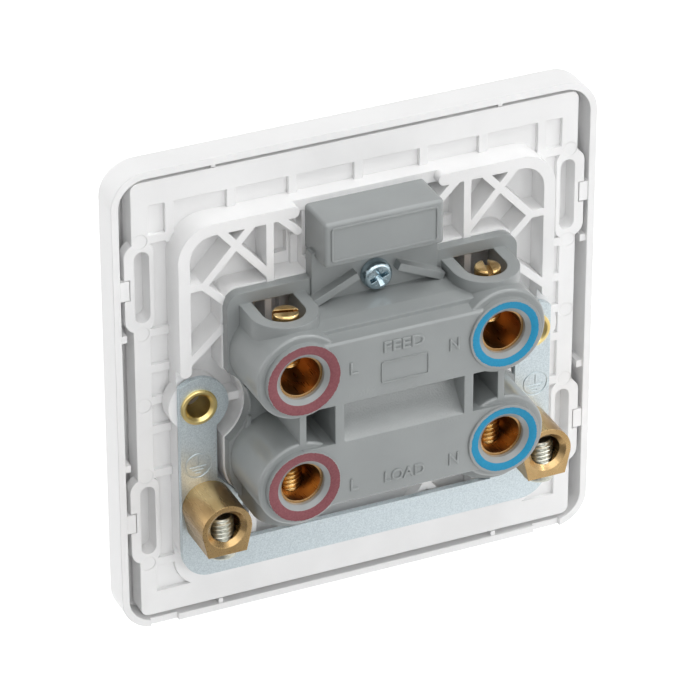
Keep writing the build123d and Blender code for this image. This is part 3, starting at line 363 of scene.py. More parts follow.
@dataclass(frozen=True)
class ClearMoulding:
    """Clear or tinted acrylic, or glass: light passes in and comes back coloured, under a clean gloss."""

    name: str
    color: str
    roughness: float = 0.12
    gloss_spread: tuple[float, float] = (0.0, 0.08)
    flow_mm: float = 1.5
    clearness: float = 0.6
    ior: float = 1.49

    def build(self) -> bpy.types.Material:
        """Make the material."""
        material, tree, shader, place = start_finish(self.name)
        shader.inputs["Base Color"].default_value = linear(self.color)
        shader.inputs["Transmission Weight"].default_value = self.clearness
        shader.inputs["IOR"].default_value = self.ior
        flow = add_node(tree, "ShaderNodeTexNoise", {"Vector": place, "Scale": 1 / (self.flow_mm * MM)})
        vary_gloss(tree, shader, flow, self.roughness, self.gloss_spread)
        return material


Finish = MouldedPlastic | PlatedSteel | DrawnMetal | FoilPrint | ClearMoulding

# Polycarbonate from a polished mould: near white, smooth, with the clearest shine of the plastics.
WHITE_COVER = MouldedPlastic("white_polycarbonate", "#F1F1F1", "#EEEEEE", roughness=0.36, grain_depth=0.05)
# The same plastic from a plainer mould: a shade darker and duller than the cover.
WHITE_PLATE = MouldedPlastic("white_plate_moulding", "#EFEFEF", "#EBEBEB", roughness=0.42, grain_depth=0.06)
# Filled polyamide: a cool grey under a thin glossy skin, grainy in the sunk band between the bars.
GREY_HOUSING = MouldedPlastic("grey_polyamide", "#959999", "#909494", roughness=0.34, grain_depth=0.14,
                              edge_mm=0.3, skin=0.3, coarse_mm=(11.2, -4.5, 5.5))
# Pressed sheet, plated after pressing: pale and mottled, less of a mirror than a turned screw.
ZINC = PlatedSteel("zinc_plated_steel", "#D8E2E6", "#BBC7CC", roughness=0.34, grain_mm=0.22, bare=0.65)
# Cold headed screws with bright plating: blue highlights with clear edges.
BRIGHT_ZINC = PlatedSteel("bright_zinc_screw", "#BDCCD3", "#9DB1B9", roughness=0.22, grain_mm=0.6)
# Cut screws with plain plating: a yellowish grey with soft highlights.
DULL_ZINC = PlatedSteel("dull_zinc_screw", "#C6C7BE", "#A0A196", roughness=0.34, grain_mm=0.5)
# Drilled brass bar: a deep, smooth tunnel that reflects its own colour.
TERMINAL_BRASS = DrawnMetal("terminal_brass", "#CCA473", "#B88E5B", roughness=0.28, stain_mm=9.0,
                            mark_depth=0.1)
# Drawn brass profile, sawn off: browner, with marks along its length.
EARTH_BRASS = DrawnMetal("earth_brass", "#BB9E71", "#A5875A", roughness=0.27, stain_mm=6.0,
                         mark_mm=(0.45, 9.0, 0.45), mark_depth=0.2)
# Turned brass screws: bright, with small round marks.
SCREW_BRASS = DrawnMetal("screw_brass", "#D8BC88", "#A98650", roughness=0.22, mark_mm=(0.6, 0.6, 0.6))
# Pressed brass sheet: the palest brass here, smooth where the tool rolled it over.
EYELET_BRASS = DrawnMetal("eyelet_brass", "#EAD493", "#DABD76", roughness=0.30, stain_mm=5.0,
                          mark_mm=(1.5, 1.5, 1.5), mark_depth=0.1)
# Stamped copper strip and silver alloy rivets, hidden inside the housing.
COPPER = DrawnMetal("contact_copper", "#D08A66", "#B06A48", roughness=0.32)
SILVER = DrawnMetal("contact_silver", "#E4E4E0", "#C9C9C6", roughness=0.3)
# Natural nylon: a warm, waxy white.
NYLON = MouldedPlastic("natural_nylon", "#E9E4D4", "#E0DAC8", roughness=0.4)
# Glass and epoxy laminate under green lacquer.
LAMINATE = MouldedPlastic("board_laminate", "#3A6B45", "#2E5A3A", roughness=0.5)
# Hot foils: a brownish red for the live pole and a clear blue for the neutral one.
LIVE_FOIL = FoilPrint("live_foil", "#864E53", "#794148")
NEUTRAL_FOIL = FoilPrint("neutral_foil", "#148BB4", "#1082AA")
# Red acrylic, and the lamp's blown glass.
RED_LENS = ClearMoulding("red_lens", "#C2281E")
LAMP_GLASS = ClearMoulding("lamp_glass", "#F4F1E8", roughness=0.04)

# The start of a node's name, with its finish. The first that fits is used.
NODE_FINISHES = (
    ("cover_plate", WHITE_COVER), ("rocker", WHITE_COVER), ("mounting_plate", WHITE_PLATE),
    ("terminal_housing", GREY_HOUSING), ("earth_strap", ZINC), ("housing_screw", BRIGHT_ZINC),
    ("earth_screw", DULL_ZINC), ("eyelet", EYELET_BRASS), ("earth_terminal", EARTH_BRASS),
    ("feed_terminal", TERMINAL_BRASS), ("load_terminal", TERMINAL_BRASS), ("feed_screw", SCREW_BRASS),
    ("load_screw", SCREW_BRASS), ("feed_contact", COPPER), ("load_bracket", COPPER),
    ("moving_contact", COPPER), ("moving_tip", SILVER), ("fixed_tip", SILVER),
    ("plunger_spring", BRIGHT_ZINC), ("plunger", NYLON), ("indicator_lens", RED_LENS),
    ("indicator_lamp", LAMP_GLASS), ("indicator_board", LAMINATE),
)


def mesh_piece(name: str, build: Drawing, material: bpy.types.Material, smooth_deg: float = 35.0,
               outward: bool = True) -> bpy.types.Object:
    """Make a mesh object from bmesh code, with its place in its mesh.

    Args:
        name: the piece's name.
        build: draws the piece into the bmesh, in millimetres.
        material: its finish.
        smooth_deg: edges flatter than this are shaded smooth.
        outward: work the faces' directions out afresh.

    Returns:
        The new object, at the origin.
    """
    bm = bmesh.new()
    build(bm)
    if outward:
        bmesh.ops.recalc_face_normals(bm, faces=bm.faces)
    bmesh.ops.scale(bm, vec=(MM, MM, MM), verts=bm.verts)
    mesh = bpy.data.meshes.new(name)
    bm.to_mesh(mesh)
    bm.free()
    mesh.materials.append(material)
    mesh.shade_smooth()
    piece = bpy.data.objects.new(name, mesh)
    bpy.context.scene.collection.objects.link(piece)
    mesh.set_sharp_from_angle(angle=math.radians(smooth_deg))
    return piece


def settle(piece: bpy.types.Object, body: str) -> bpy.types.Object:
    """Let a piece ride on its body and report it.

    Args:
        piece: the finished piece.
        body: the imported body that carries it.

    Returns:
        The same piece.
    """
    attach(piece, body)
    LOG.info("%s rides on %s", piece.name, body)
    return piece


def lathe(bm: bmesh.types.BMesh, profile: Iterable[tuple[float, float]], steps: int) -> None:
    """Turn an outline round Z.

    Args:
        bm: the mesh to draw into.
        profile: radius and height of each point, in millimetres.
        steps: points round the circle.
    """
    rings = []
    for radius, height in profile:
        angles = [math.tau * i / steps for i in range(steps if radius > 0 else 1)]
        rings.append([bm.verts.new((radius * math.cos(a), radius * math.sin(a), height)) for a in angles])
    for lower, upper in zip(rings, rings[1:]):
        for i in range(steps):
            j = (i + 1) % steps
            corners = [lower[i % len(lower)], lower[j % len(lower)]]
            corners += [upper[j % len(upper)], upper[i % len(upper)]]
            bm.faces.new(list(dict.fromkeys(corners)))


def close_rings(bm: bmesh.types.BMesh, rings: list[list[bmesh.types.BMVert]]) -> None:
    """Join rings of equal count into a closed, hollow form, the last ring to the first.

    Args:
        bm: the mesh to draw into.
        rings: the rings' points, in order.
    """
    for ring, other in zip(rings, rings[1:] + rings[:1]):
        for i in range(len(ring)):
            j = (i + 1) % len(ring)
            bm.faces.new((ring[i], ring[j], other[j], other[i]))


def frustum(bm: bmesh.types.BMesh, low: tuple[float, float], high: tuple[float, float], height: float,
            matrix: Matrix) -> None:
    """Draw a four sided taper.

    Args:
        bm: the mesh to draw into.
        low: its X and Y lengths at the bottom.
        high: its X and Y lengths at the top.
        height: its height, from Z 0 up.
        matrix: puts it in its place.
    """
    rings = []
    for (dx, dy), z in ((low, 0.0), (high, height)):
        rings.append([bm.verts.new(matrix @ Vector((sx * dx / 2, sy * dy / 2, z)))
                      for sx, sy in ((-1, -1), (1, -1), (1, 1), (-1, 1))])
    bm.faces.new(rings[0][::-1])
    bm.faces.new(rings[1])
    for i in range(4):
        j = (i + 1) % 4
        bm.faces.new((rings[0][i], rings[0][j], rings[1][j], rings[1][i]))


def groove(bm: bmesh.types.BMesh, turn_deg: float, floor_z: float, low: tuple[float, float],
           high: tuple[float, float], height: float) -> None:
    """Draw what cuts one straight groove across a screw's head.

    Args:
        bm: the mesh to draw into.
        turn_deg: how far round the groove stands.
        floor_z: the height of its floor.
        low: its length and width at the floor.
        high: its length and width at the cutter's top.
        height: the cutter's height.
    """
    turn = Matrix.Rotation(math.radians(turn_deg), 4, "Z")
    frustum(bm, low, high, height, turn @ Matrix.Translation((0, 0, floor_z)))


def copy_node(bm: bmesh.types.BMesh, node: bpy.types.Object) -> None:
    """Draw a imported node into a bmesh, with its loose triangles merged.

    Args:
        bm: the mesh to draw into, in millimetres.
        node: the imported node.
    """
    corners = [bm.verts.new(vertex.co / MM) for vertex in node.data.vertices]
    for polygon in node.data.polygons:
        bm.faces.new([corners[i] for i in polygon.vertices])
    bmesh.ops.remove_doubles(bm, verts=bm.verts, dist=MERGE_MM)


def evaluated_mesh(obj: bpy.types.Object) -> bpy.types.Mesh:
    """Take an object's result with its modifiers applied, as a plain mesh.

    Args:
        obj: an object whose modifiers are live.

    Returns:
        A new mesh.
    """
    graph = bpy.context.evaluated_depsgraph_get()
    result = obj.evaluated_get(graph)
    return bpy.data.meshes.new_from_object(result, preserve_all_data_layers=True, depsgraph=graph)


def carve(piece: bpy.types.Object, cuts: Iterable[Drawing], material: bpy.types.Material) -> None:
    """Cut closed forms out of a piece.

    Args:
        piece: the closed piece.
        cuts: draw the closed forms, which are cut one after another.
        material: the finish of the cut faces.
    """
    cutters = [mesh_piece("cutter", cut, material) for cut in cuts]
    for cutter in cutters:
        tool = piece.modifiers.new("carve", "BOOLEAN")
        tool.operation = "DIFFERENCE"
        tool.solver = "EXACT"
        tool.object = cutter
        mesh = evaluated_mesh(piece)
        piece.modifiers.clear()
        piece.data = mesh
        bpy.data.objects.remove(cutter)


def join(bm: bmesh.types.BMesh, mesh: bpy.types.Mesh, matrix: Matrix) -> None:
    """Place a mesh and add it to a bmesh.

    Args:
        bm: takes the mesh.
        mesh: what is added.
        matrix: places it.
    """
    mesh.transform(matrix)
    bm.from_mesh(mesh)


@dataclass(frozen=True)
class Thread:
    """A thread's sizes in millimetres: over the crests, the pitch, crest to root, and the tapered point."""

    radius: float
    pitch: float
    depth: float
    point: float


class ThreadTree:
    """A Geometry Nodes tree that turns a plain bar into a pointed screw thread."""

    steps_round: ClassVar[int] = 40
    steps_per_pitch: ClassVar[int] = 9
    steps_least: ClassVar[int] = 8
    flank_slope: ClassVar[float] = 1.3
    crest_flat: ClassVar[float] = 0.12

    def __init__(self) -> None:
        """Build the tree once, with a named input for each size."""
        self.tree = bpy.data.node_groups.new("screw_thread", "GeometryNodeTree")
        face = self.tree.interface
        face.new_socket("Geometry", in_out="OUTPUT", socket_type="NodeSocketGeometry")
        self.keys = {}
        kinds = {"Radius": "Float", "Length": "Float", "Pitch": "Float", "Thread Depth": "Float",
                 "Point": "Float", "Steps Round": "Int", "Steps Along": "Int", "Material": "Material"}
        for name, kind in kinds.items():
            socket = face.new_socket(name, in_out="INPUT", socket_type="NodeSocket" + kind)
            self.keys[name] = socket.identifier
        self.draw()

    def draw(self) -> None:
        """Lay out the nodes: a bar, whose points move in to the thread's outline."""
        add = partial(add_node, self.tree)
        given = add("NodeGroupInput").outputs
        size = {"Vertices": given["Steps Round"], "Side Segments": given["Steps Along"],
                "Radius": given["Radius"], "Depth": given["Length"]}
        bar = add("GeometryNodeMeshCylinder", size)
        x, y, z = add("ShaderNodeSeparateXYZ", {0: add("GeometryNodeInputPosition")}).outputs
        angle = add("ShaderNodeMath", {0: y, 1: x}, operation="ARCTAN2")
        turn = add("ShaderNodeMath", {0: angle, 1: math.tau}, operation="DIVIDE")
        rise = add("ShaderNodeMath", {0: z, 1: given["Pitch"]}, operation="DIVIDE")
        lead = add("ShaderNodeMath", {0: rise, 1: turn}, operation="SUBTRACT")
        phase = add("ShaderNodeMath", {0: lead}, operation="FRACT")
        swing = add("ShaderNodeMath", {0: phase, 1: 2.0, 2: -1.0}, operation="MULTIPLY_ADD")
        flank = add("ShaderNodeMath", {0: swing}, operation="ABSOLUTE")
        valley = add("ShaderNodeMath", {0: flank, 1: self.flank_slope, 2: -self.crest_flat},
                     operation="MULTIPLY_ADD", use_clamp=True)
        share = add("ShaderNodeMath", {0: given["Thread Depth"], 1: given["Radius"]}, operation="DIVIDE")
        cut = add("ShaderNodeMath", {0: valley, 1: share}, operation="MULTIPLY")
        threaded = add("ShaderNodeMath", {0: 1.0, 1: cut}, operation="SUBTRACT")
        low = add("ShaderNodeMath", {0: given["Length"], 1: -0.5}, operation="MULTIPLY")
        taper_top = add("ShaderNodeMath", {0: low, 1: given["Point"]}, operation="ADD")
        blunt_radius = add("ShaderNodeMath", {0: given["Radius"], 1: given["Point"]}, operation="SUBTRACT")
        blunt = add("ShaderNodeMath", {0: blunt_radius, 1: given["Radius"]}, operation="DIVIDE")
        taper = add("ShaderNodeMapRange", {"Value": z, "From Min": low, "From Max": taper_top,
                                           "To Min": blunt, "To Max": 1.0})
        scale = add("ShaderNodeMath", {0: threaded, 1: taper}, operation="MINIMUM")
        new_x = add("ShaderNodeMath", {0: x, 1: scale}, operation="MULTIPLY")
        new_y = add("ShaderNodeMath", {0: y, 1: scale}, operation="MULTIPLY")
        target = add("ShaderNodeCombineXYZ", {0: new_x, 1: new_y, 2: z})
        moved = add("GeometryNodeSetPosition", {"Geometry": bar, "Position": target})
        real = add("GeometryNodeRealizeInstances", {0: moved})
        dressed = add("GeometryNodeSetMaterial", {"Geometry": real, "Material": given["Material"]})
        add("NodeGroupOutput", {0: dressed})

    def cut(self, thread: Thread, length: float, material: bpy.types.Material) -> bpy.types.Mesh:
        """Make one threaded shank.

        Args:
            thread: its sizes.
            length: from the point to the other end, centred on the origin along Z.
            material: its finish.

        Returns:
            The shank as a plain mesh, in millimetres.
        """
        carrier = bpy.data.objects.new("thread_carrier", bpy.data.meshes.new("thread_carrier"))
        bpy.context.scene.collection.objects.link(carrier)
        maker = carrier.modifiers.new("thread", "NODES")
        maker.node_group = self.tree
        along = max(self.steps_least, round(self.steps_per_pitch * length / thread.pitch))
        values = {"Radius": thread.radius, "Length": length, "Pitch": thread.pitch,
                  "Thread Depth": thread.depth, "Point": thread.point, "Steps Round": self.steps_round,
                  "Steps Along": along, "Material": material}
        for name, value in values.items():
            maker[self.keys[name]] = value
        mesh = evaluated_mesh(carrier)
        bpy.data.objects.remove(carrier)
        return mesh


@dataclass(frozen=True)
class Lamp:
    """A square soft lamp that faces the object, placed in metres along the view's axes or the object's."""

    name: str
    place_m: tuple[float, float, float]
    size_m: float
    power_w: float
    by_view: bool = True


LAMPS = (
    Lamp("key", (0.85, 0.75, 0.45), 0.35, 3.5),
    Lamp("top", (-0.15, 0.1, 1.1), 0.8, 6.1, by_view=False),
    Lamp("front", (0.1, 0.25, 1.2), 1.0, 4.6),
    Lamp("side", (-1.15, 0.35, 0.1), 0.9, 5.6),
    Lamp("room", (0.25, -1.2, 0.2), 1.0, 5.0, by_view=False),
    Lamp("low", (0.8, -0.3, 0.7), 1.1, 6.0),
)


@dataclass
class Studio:
    """The pale floor, the soft lamps, the white surround and the camera.

    The floor glows for the camera from near_glow beside the object to white further off, by the distances of
    clear_m. What metal and gloss mirror of it is a card that fades along X + Y, by card_m and card_glow.
    """

    target_mm: tuple[float, float] = (-1.46535, 1.24852)
    azimuth_deg: float = 155.81708
    elevation_deg: float = 30.60676
    roll_deg: float = -0.04748
    distance_mm: float = 774.33452
    sensor_mm: float = 36.0
    lens_mm: float = 241.0937
    clip_m: tuple[float, float] = (0.01, 20)
    floor_drop_mm: float = 130.0
    floor_half_mm: float = 4000
    floor_color: str = "#F4F4F4"
    floor_roughness: float = 0.9
    clear_m: tuple[float, float] = (0.25, 0.9)
    near_glow: float = 0.45
    bounce_glow: float = 0.12
    room_glow: float = 0.02
    card_m: tuple[float, float] = (0.07, 0.15)
    card_glow: tuple[float, float] = (1.4, 0.3)

    def view_axes(self) -> tuple[Vector, Vector, Vector]:
        """Work out the camera's right, up and backward directions.

        Returns:
            Three unit vectors.
        """
        a, e, r = (math.radians(v) for v in (self.azimuth_deg, self.elevation_deg, self.roll_deg))
        back = Vector((math.sin(a) * math.cos(e), -math.cos(a) * math.cos(e), math.sin(e)))
        right = Vector((0, 0, 1)).cross(back).normalized()
        up = back.cross(right)
        return right * math.cos(r) + up * math.sin(r), up * math.cos(r) - right * math.sin(r), back

    def camera(self) -> None:
        """Place the camera at the photograph's viewing angle."""
        right, up, back = self.view_axes()
        data = bpy.data.cameras.new("camera")
        data.sensor_width = self.sensor_mm
        data.lens = self.lens_mm
        data.clip_start, data.clip_end = self.clip_m
        obj = bpy.data.objects.new("camera", data)
        place = (right * self.target_mm[0] + up * self.target_mm[1] + back * self.distance_mm) * MM
        obj.matrix_world = Matrix.Translation(place) @ Matrix((right, up, back)).transposed().to_4x4()
        bpy.context.scene.collection.objects.link(obj)
        bpy.context.scene.camera = obj

    def hang(self, lamp: Lamp) -> None:
        """Hang one lamp.

        Args:
            lamp: what hangs, and where.
        """
        x, y, z = lamp.place_m
        right, up, back = self.view_axes()
        place = right * x + up * y + back * z if lamp.by_view else Vector(lamp.place_m)
        data = bpy.data.lights.new(lamp.name, "AREA")
        data.size = lamp.size_m
        data.energy = lamp.power_w
        obj = bpy.data.objects.new(lamp.name, data)
        obj.matrix_world = Matrix.Translation(place) @ place.to_track_quat("Z", "Y").to_matrix().to_4x4()
        bpy.context.scene.collection.objects.link(obj)

    def surround(self) -> None:
        """Make a surround that is white for the camera, glass and metal, and nearly dark as light."""
        world = bpy.data.worlds.new("surround")
        world.use_nodes = True
        tree = world.node_tree
        tree.nodes.clear()
        path = add_node(tree, "ShaderNodeLightPath").outputs
        seen = add_node(tree, "ShaderNodeMath", {0: path["Is Camera Ray"], 1: path["Is Transmission Ray"]},
                        operation="ADD")
        seen = add_node(tree, "ShaderNodeMath", {0: seen, 1: path["Is Glossy Ray"]}, operation="MAXIMUM")
        strength = add_node(tree, "ShaderNodeMapRange", {"Value": seen, "To Min": self.room_glow,
                                                         "To Max": 1.0})
        light = add_node(tree, "ShaderNodeBackground", {"Color": (1, 1, 1, 1), "Strength": strength})
        add_node(tree, "ShaderNodeOutputWorld", {"Surface": light})
        bpy.context.scene.world = world

    def floor(self) -> None:
        """Lay a wide pale floor that clips to white for the camera outside the object's shadow."""
        def plane(bm: bmesh.types.BMesh) -> None:
            """Draw the floor's one face."""
            half, z = self.floor_half_mm, -self.floor_drop_mm
            ways = ((-1, -1), (1, -1), (1, 1), (-1, 1))
            bm.faces.new([bm.verts.new((x * half, y * half, z)) for x, y in ways])
        material, tree, shader, spot = start_finish("pale_floor")
        shader.inputs["Base Color"].default_value = linear(self.floor_color)
        shader.inputs["Roughness"].default_value = self.floor_roughness
        path = add_node(tree, "ShaderNodeLightPath").outputs
        reach = add_node(tree, "ShaderNodeVectorMath", {0: spot}, operation="LENGTH").outputs["Value"]
        white = add_node(tree, "ShaderNodeMapRange", {"Value": reach, "From Min": self.clear_m[0],
                                                      "From Max": self.clear_m[1], "To Min": self.near_glow,
                                                      "To Max": 1.0})
        glow = add_node(tree, "ShaderNodeMapRange", {"Value": path["Is Camera Ray"], "To Max": white,
                                                     "To Min": self.bounce_glow})
        shader.inputs["Emission Color"].default_value = (1, 1, 1, 1)
        tree.links.new(glow.outputs[0], shader.inputs["Emission Strength"])
        axes = add_node(tree, "ShaderNodeSeparateXYZ", {0: spot}).outputs
        across = add_node(tree, "ShaderNodeMath", {0: axes[0], 1: axes[1]}, operation="ADD")
        fade = add_node(tree, "ShaderNodeMapRange", {"Value": across, "From Min": self.card_m[0],
                                                     "From Max": self.card_m[1], "To Min": self.card_glow[0],
                                                     "To Max": self.card_glow[1]})
        card = add_node(tree, "ShaderNodeEmission", {"Strength": fade})
        mixed = add_node(tree, "ShaderNodeMixShader", {0: path["Is Glossy Ray"], 1: shader, 2: card})
        tree.links.new(mixed.outputs[0], tree.nodes["Material Output"].inputs["Surface"])
        mesh_piece("floor", plane, material)

    def build(self) -> None:
        """Set up the whole studio."""
        self.camera()
        self.surround()
        self.floor()
        for lamp in LAMPS:
            self.hang(lamp)
        bpy.context.scene.view_settings.view_transform = "Standard"


class FinishShelf:
    """Makes each finish once and hands it out."""

    def __init__(self) -> None:
        """Start with nothing made."""
        self.made: dict[str, bpy.types.Material] = {}

    def take(self, finish: Finish) -> bpy.types.Material:
        """Give the material of a finish.

        Args:
            finish: the finish wanted.

        Returns:
            Its material, the same one each time.
        """
        if finish.name not in self.made:
            self.made[finish.name] = finish.build()
        return self.made[finish.name]


@dataclass
class CableEntries:
    """The four round entries in the housing, with their foil printed rings."""

    x_mm: float = 17.9
    z_mm: float = 10.0
    face_y_mm: float = 18.45
    inner_mm: float = 4.64
    dip_r_mm: float = 5.3
    dip_mm: float = 0.25
    dip_run_mm: float = 0.7
    live_outer_mm: float = 6.3
    neutral_outer_mm: float = 5.95
    foil_mm: float = 0.02
    bed_mm: float = 0.01
    lip_mm: float = 0.03
    shift_mm: float = 0.08
    ragged_mm: float = 0.05
    inner_rag: float = 0.3
    steps: int = 180

    def draw_ring(self, bm: bmesh.types.BMesh, pole: Pole, end: End) -> None:
        """Draw one ring of foil, dished towards its hole, a little off centre and ragged outside.

        Args:
            bm: the mesh to draw into.
            pole: live or neutral.
            end: feed or load.
        """
        rng = random.Random(f"{pole.label}{end.label}")
        outer = self.live_outer_mm if pole is Pole.LIVE else self.neutral_outer_mm
        cx, cz = pole.side * self.x_mm, end.level * self.z_mm
        far = self.shift_mm
        shift = Vector((rng.uniform(-far, far), 0, rng.uniform(-far, far)))
        wobble = [rng.uniform(-1, 1) for _ in range(self.steps)]
        top, bed = self.face_y_mm + self.foil_mm, self.face_y_mm - self.bed_mm
        dished = top - self.dip_mm * (self.dip_r_mm - self.inner_mm) / self.dip_run_mm
        outline = ((self.inner_mm, dished, self.inner_rag, 0), (self.dip_r_mm, top, 0, 0), (outer, top, 1, 1),
                   (outer, bed, 1, 1), (self.dip_r_mm, bed, 0, 0),
                   (self.inner_mm, dished - self.lip_mm, self.inner_rag, 0))
        rings = []
        for radius, y, rag, slide in outline:
            ring = []
            for i in range(self.steps):
                angle = math.tau * i / self.steps
                r = radius + rag * self.ragged_mm * wobble[i]
                ring.append(bm.verts.new((cx + r * math.cos(angle) + slide * shift.x, y,
                                          cz + r * math.sin(angle) + slide * shift.z)))
            rings.append(ring)
        close_rings(bm, rings)

    def build(self, shelf: FinishShelf) -> None:
        """Print all four rings.

        Args:
            shelf: holds the finishes.
        """
        for pole, foil in ((Pole.LIVE, LIVE_FOIL), (Pole.NEUTRAL, NEUTRAL_FOIL)):
            for end in End:
                draw = partial(self.draw_ring, pole=pole, end=end)
                settle(mesh_piece(f"foil_{end.label}_{pole.label}", draw, shelf.take(foil)), "switch_body")


@dataclass(frozen=True)
class ScrewPlace:
    """Where one screw goes, and what it stands for."""

    piece: str
    node: str
    body: str
    slot: str
    matrix: Matrix


def fit_screw(at: ScrewPlace, head: Drawing, grooves: Iterable[Drawing], shank: bpy.types.Mesh,
              shank_z: float, smooth_deg: float, material: bpy.types.Material) -> None:
    """Cut a screw's head, add its threaded shank and let the screw stand for its node.

    Args:
        at: its place.
        head: draws the turned head, which looks along +Z.
        grooves: draw what is cut out of the head.
        shank: the threaded shank.
        shank_z: height of the shank's middle.
        smooth_deg: edges flatter than this are shaded smooth.
        material: its finish.
    """
    blank = mesh_piece("screw_blank", head, material)
    carve(blank, grooves, material)

    def draw(bm: bmesh.types.BMesh) -> None:
        """Join the head and the shank."""
        join(bm, blank.data, at.matrix @ Matrix.Scale(1 / MM, 4))
        join(bm, shank, at.matrix @ Matrix.Translation((0, 0, shank_z)))
    piece = mesh_piece(at.piece, draw, material, smooth_deg=smooth_deg, outward=False)
    bpy.data.objects.remove(blank)
    settle(piece, at.body)
    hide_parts(at.node)


@dataclass
class ClampScrews:
    """The slotted brass screws that clamp the cable cores, one in each window.

    The points of neck_rim and worn_rim are told by how far in from the side and how far from the head's end
    they are.
    """

    x_mm: float = 17.9
    y_mm: float = 11.2
    thread: Thread = Thread(2.4, 0.8, 0.46, 1.0)
    head_r: float = 2.2
    head_h: float = 2.2
    head_z: float = 19.1
    core_h: float = 0.3
    core_in: float = 0.35
    neck_rim: ClassVar[tuple] = ((0.06, 0.02), (0.0, 0.08))
    worn_rim: ClassVar[tuple] = ((0.0, 0.32), (0.05, 0.17), (0.14, 0.07), (0.28, 0.01))
    flat_share: float = 0.55
    steps: int = 64
    tip_z: float = 9.0
    slot_w: float = 0.82
    slot_d: float = 1.15
    slot_draft: float = 0.06
    cutter: tuple[float, float] = (6.0, 0.5)
    smooth_deg: float = 28.0
    turns: ClassVar[dict] = {(End.FEED, Pole.LIVE): -15.0, (End.FEED, Pole.NEUTRAL): 78.0,
                             (End.LOAD, Pole.LIVE): 35.0, (End.LOAD, Pole.NEUTRAL): -50.0}

    def head(self, bm: bmesh.types.BMesh) -> None:
        """Turn the straight head, with a small chamfer at its neck and a worn, rounded rim.

        Args:
            bm: the mesh to draw into.
        """
        r, neck, top = self.head_r, self.head_z - self.head_h, self.head_z
        core = r - self.core_in
        lathe(bm, [(0, neck - self.core_h), (core, neck - self.core_h), (core, neck),
                   *((r - inward, neck + up) for inward, up in self.neck_rim),
                   *((r - inward, top - down) for inward, down in self.worn_rim),
                   (r * self.flat_share, top), (0, top)], self.steps)

    def build(self, threads: ThreadTree, material: bpy.types.Material) -> None:
        """Make all four screws. Those below are the ones above, turned over.

        Args:
            threads: makes the threads.
            material: their finish.
        """
        length, over = self.cutter
        neck = self.head_z - self.head_h
        for pole in Pole:
            for end in End:
                slot = partial(groove, turn_deg=self.turns[(end, pole)] * end.level,
                               floor_z=self.head_z - self.slot_d, low=(length, self.slot_w),
                               high=(length, self.slot_w + self.slot_draft), height=self.slot_d + over)
                stand = Matrix.Rotation(0 if end.level > 0 else math.pi, 4, "X")
                name = f"{end.label}_screw_{pole.label}"
                at = ScrewPlace(f"clamp_{name}", name, name, "brass",
                                Matrix.Translation((pole.side * self.x_mm, self.y_mm, 0)) @ stand)
                shank = threads.cut(self.thread, neck - self.tip_z, material)
                fit_screw(at, self.head, [slot], shank, (self.tip_z + neck) / 2, self.smooth_deg, material)


@dataclass
class EarthScrews:
    """The zinc plated slotted screws under the earth terminals."""

    x_mm: float = 29.05
    y_mm: float = 9.2
    terminal_z: float = -18.9
    drop: float = 4.8
    gap: float = 0.2
    bore_r: float = 2.7
    into_bore: float = 1.5
    thread: Thread = Thread(2.3, 0.8, 0.45, 0.5)
    head_r: float = 2.75
    head_h: float = 1.5
    core_h: float = 0.3
    core_in: float = 0.4
    edge: float = 0.1
    wall_share: float = 0.5
    bulge: float = 0.55
    dome_turns_deg: tuple[float, ...] = (0, 15, 30, 45, 60, 75)
    steps: int = 64
    slot_w: float = 0.8
    slot_d: float = 0.7
    slot_draft: float = 0.06
    slot_turn_deg: float = 20
    cutter: tuple[float, float] = (7.0, 0.5)
    smooth_deg: float = 28.0

    def head(self, bm: bmesh.types.BMesh, seat: float) -> None:
        """Turn the domed head.

        Args:
            bm: the mesh to draw into.
            seat: height of the face that meets the terminal.
        """
        r, wall, edge = self.head_r, self.head_h * self.wall_share, self.edge
        core = self.thread.radius - self.core_in
        dome = [(r * math.cos(a) ** self.bulge, seat + wall + (self.head_h - wall) * math.sin(a))
                for a in map(math.radians, self.dome_turns_deg)]
        lathe(bm, [(0, seat - self.core_h), (core, seat - self.core_h), (core, seat), (r - edge, seat),
                   (r, seat + edge), *dome, (0, seat + self.head_h)], self.steps)

    def build(self, threads: ThreadTree, material: bpy.types.Material) -> None:
        """Make both screws. They are drawn head up and then turned over.

        Args:
            threads: makes the threads.
            material: their finish.
        """
        seat = -(self.terminal_z - self.drop - self.gap)
        tip = -(self.terminal_z + self.bore_r - self.into_bore)
        length, over = self.cutter
        for side, hand in ((1, "right"), (-1, "left")):
            slot = partial(groove, turn_deg=self.slot_turn_deg * side,
                           floor_z=seat + self.head_h - self.slot_d, low=(length, self.slot_w),
                           high=(length, self.slot_w + self.slot_draft), height=self.slot_d + over)
            place = Matrix.Translation((side * self.x_mm, self.y_mm, 0)) @ Matrix.Rotation(math.pi, 4, "X")
            node = f"earth_screw_{hand}"
            at = ScrewPlace(f"earth_terminal_screw_{hand}", node, node, "zinc_steel", place)
            shank = threads.cut(self.thread, seat - tip, material)
            head = partial(self.head, seat=seat)
            fit_screw(at, head, [slot], shank, (tip + seat) / 2, self.smooth_deg, material)


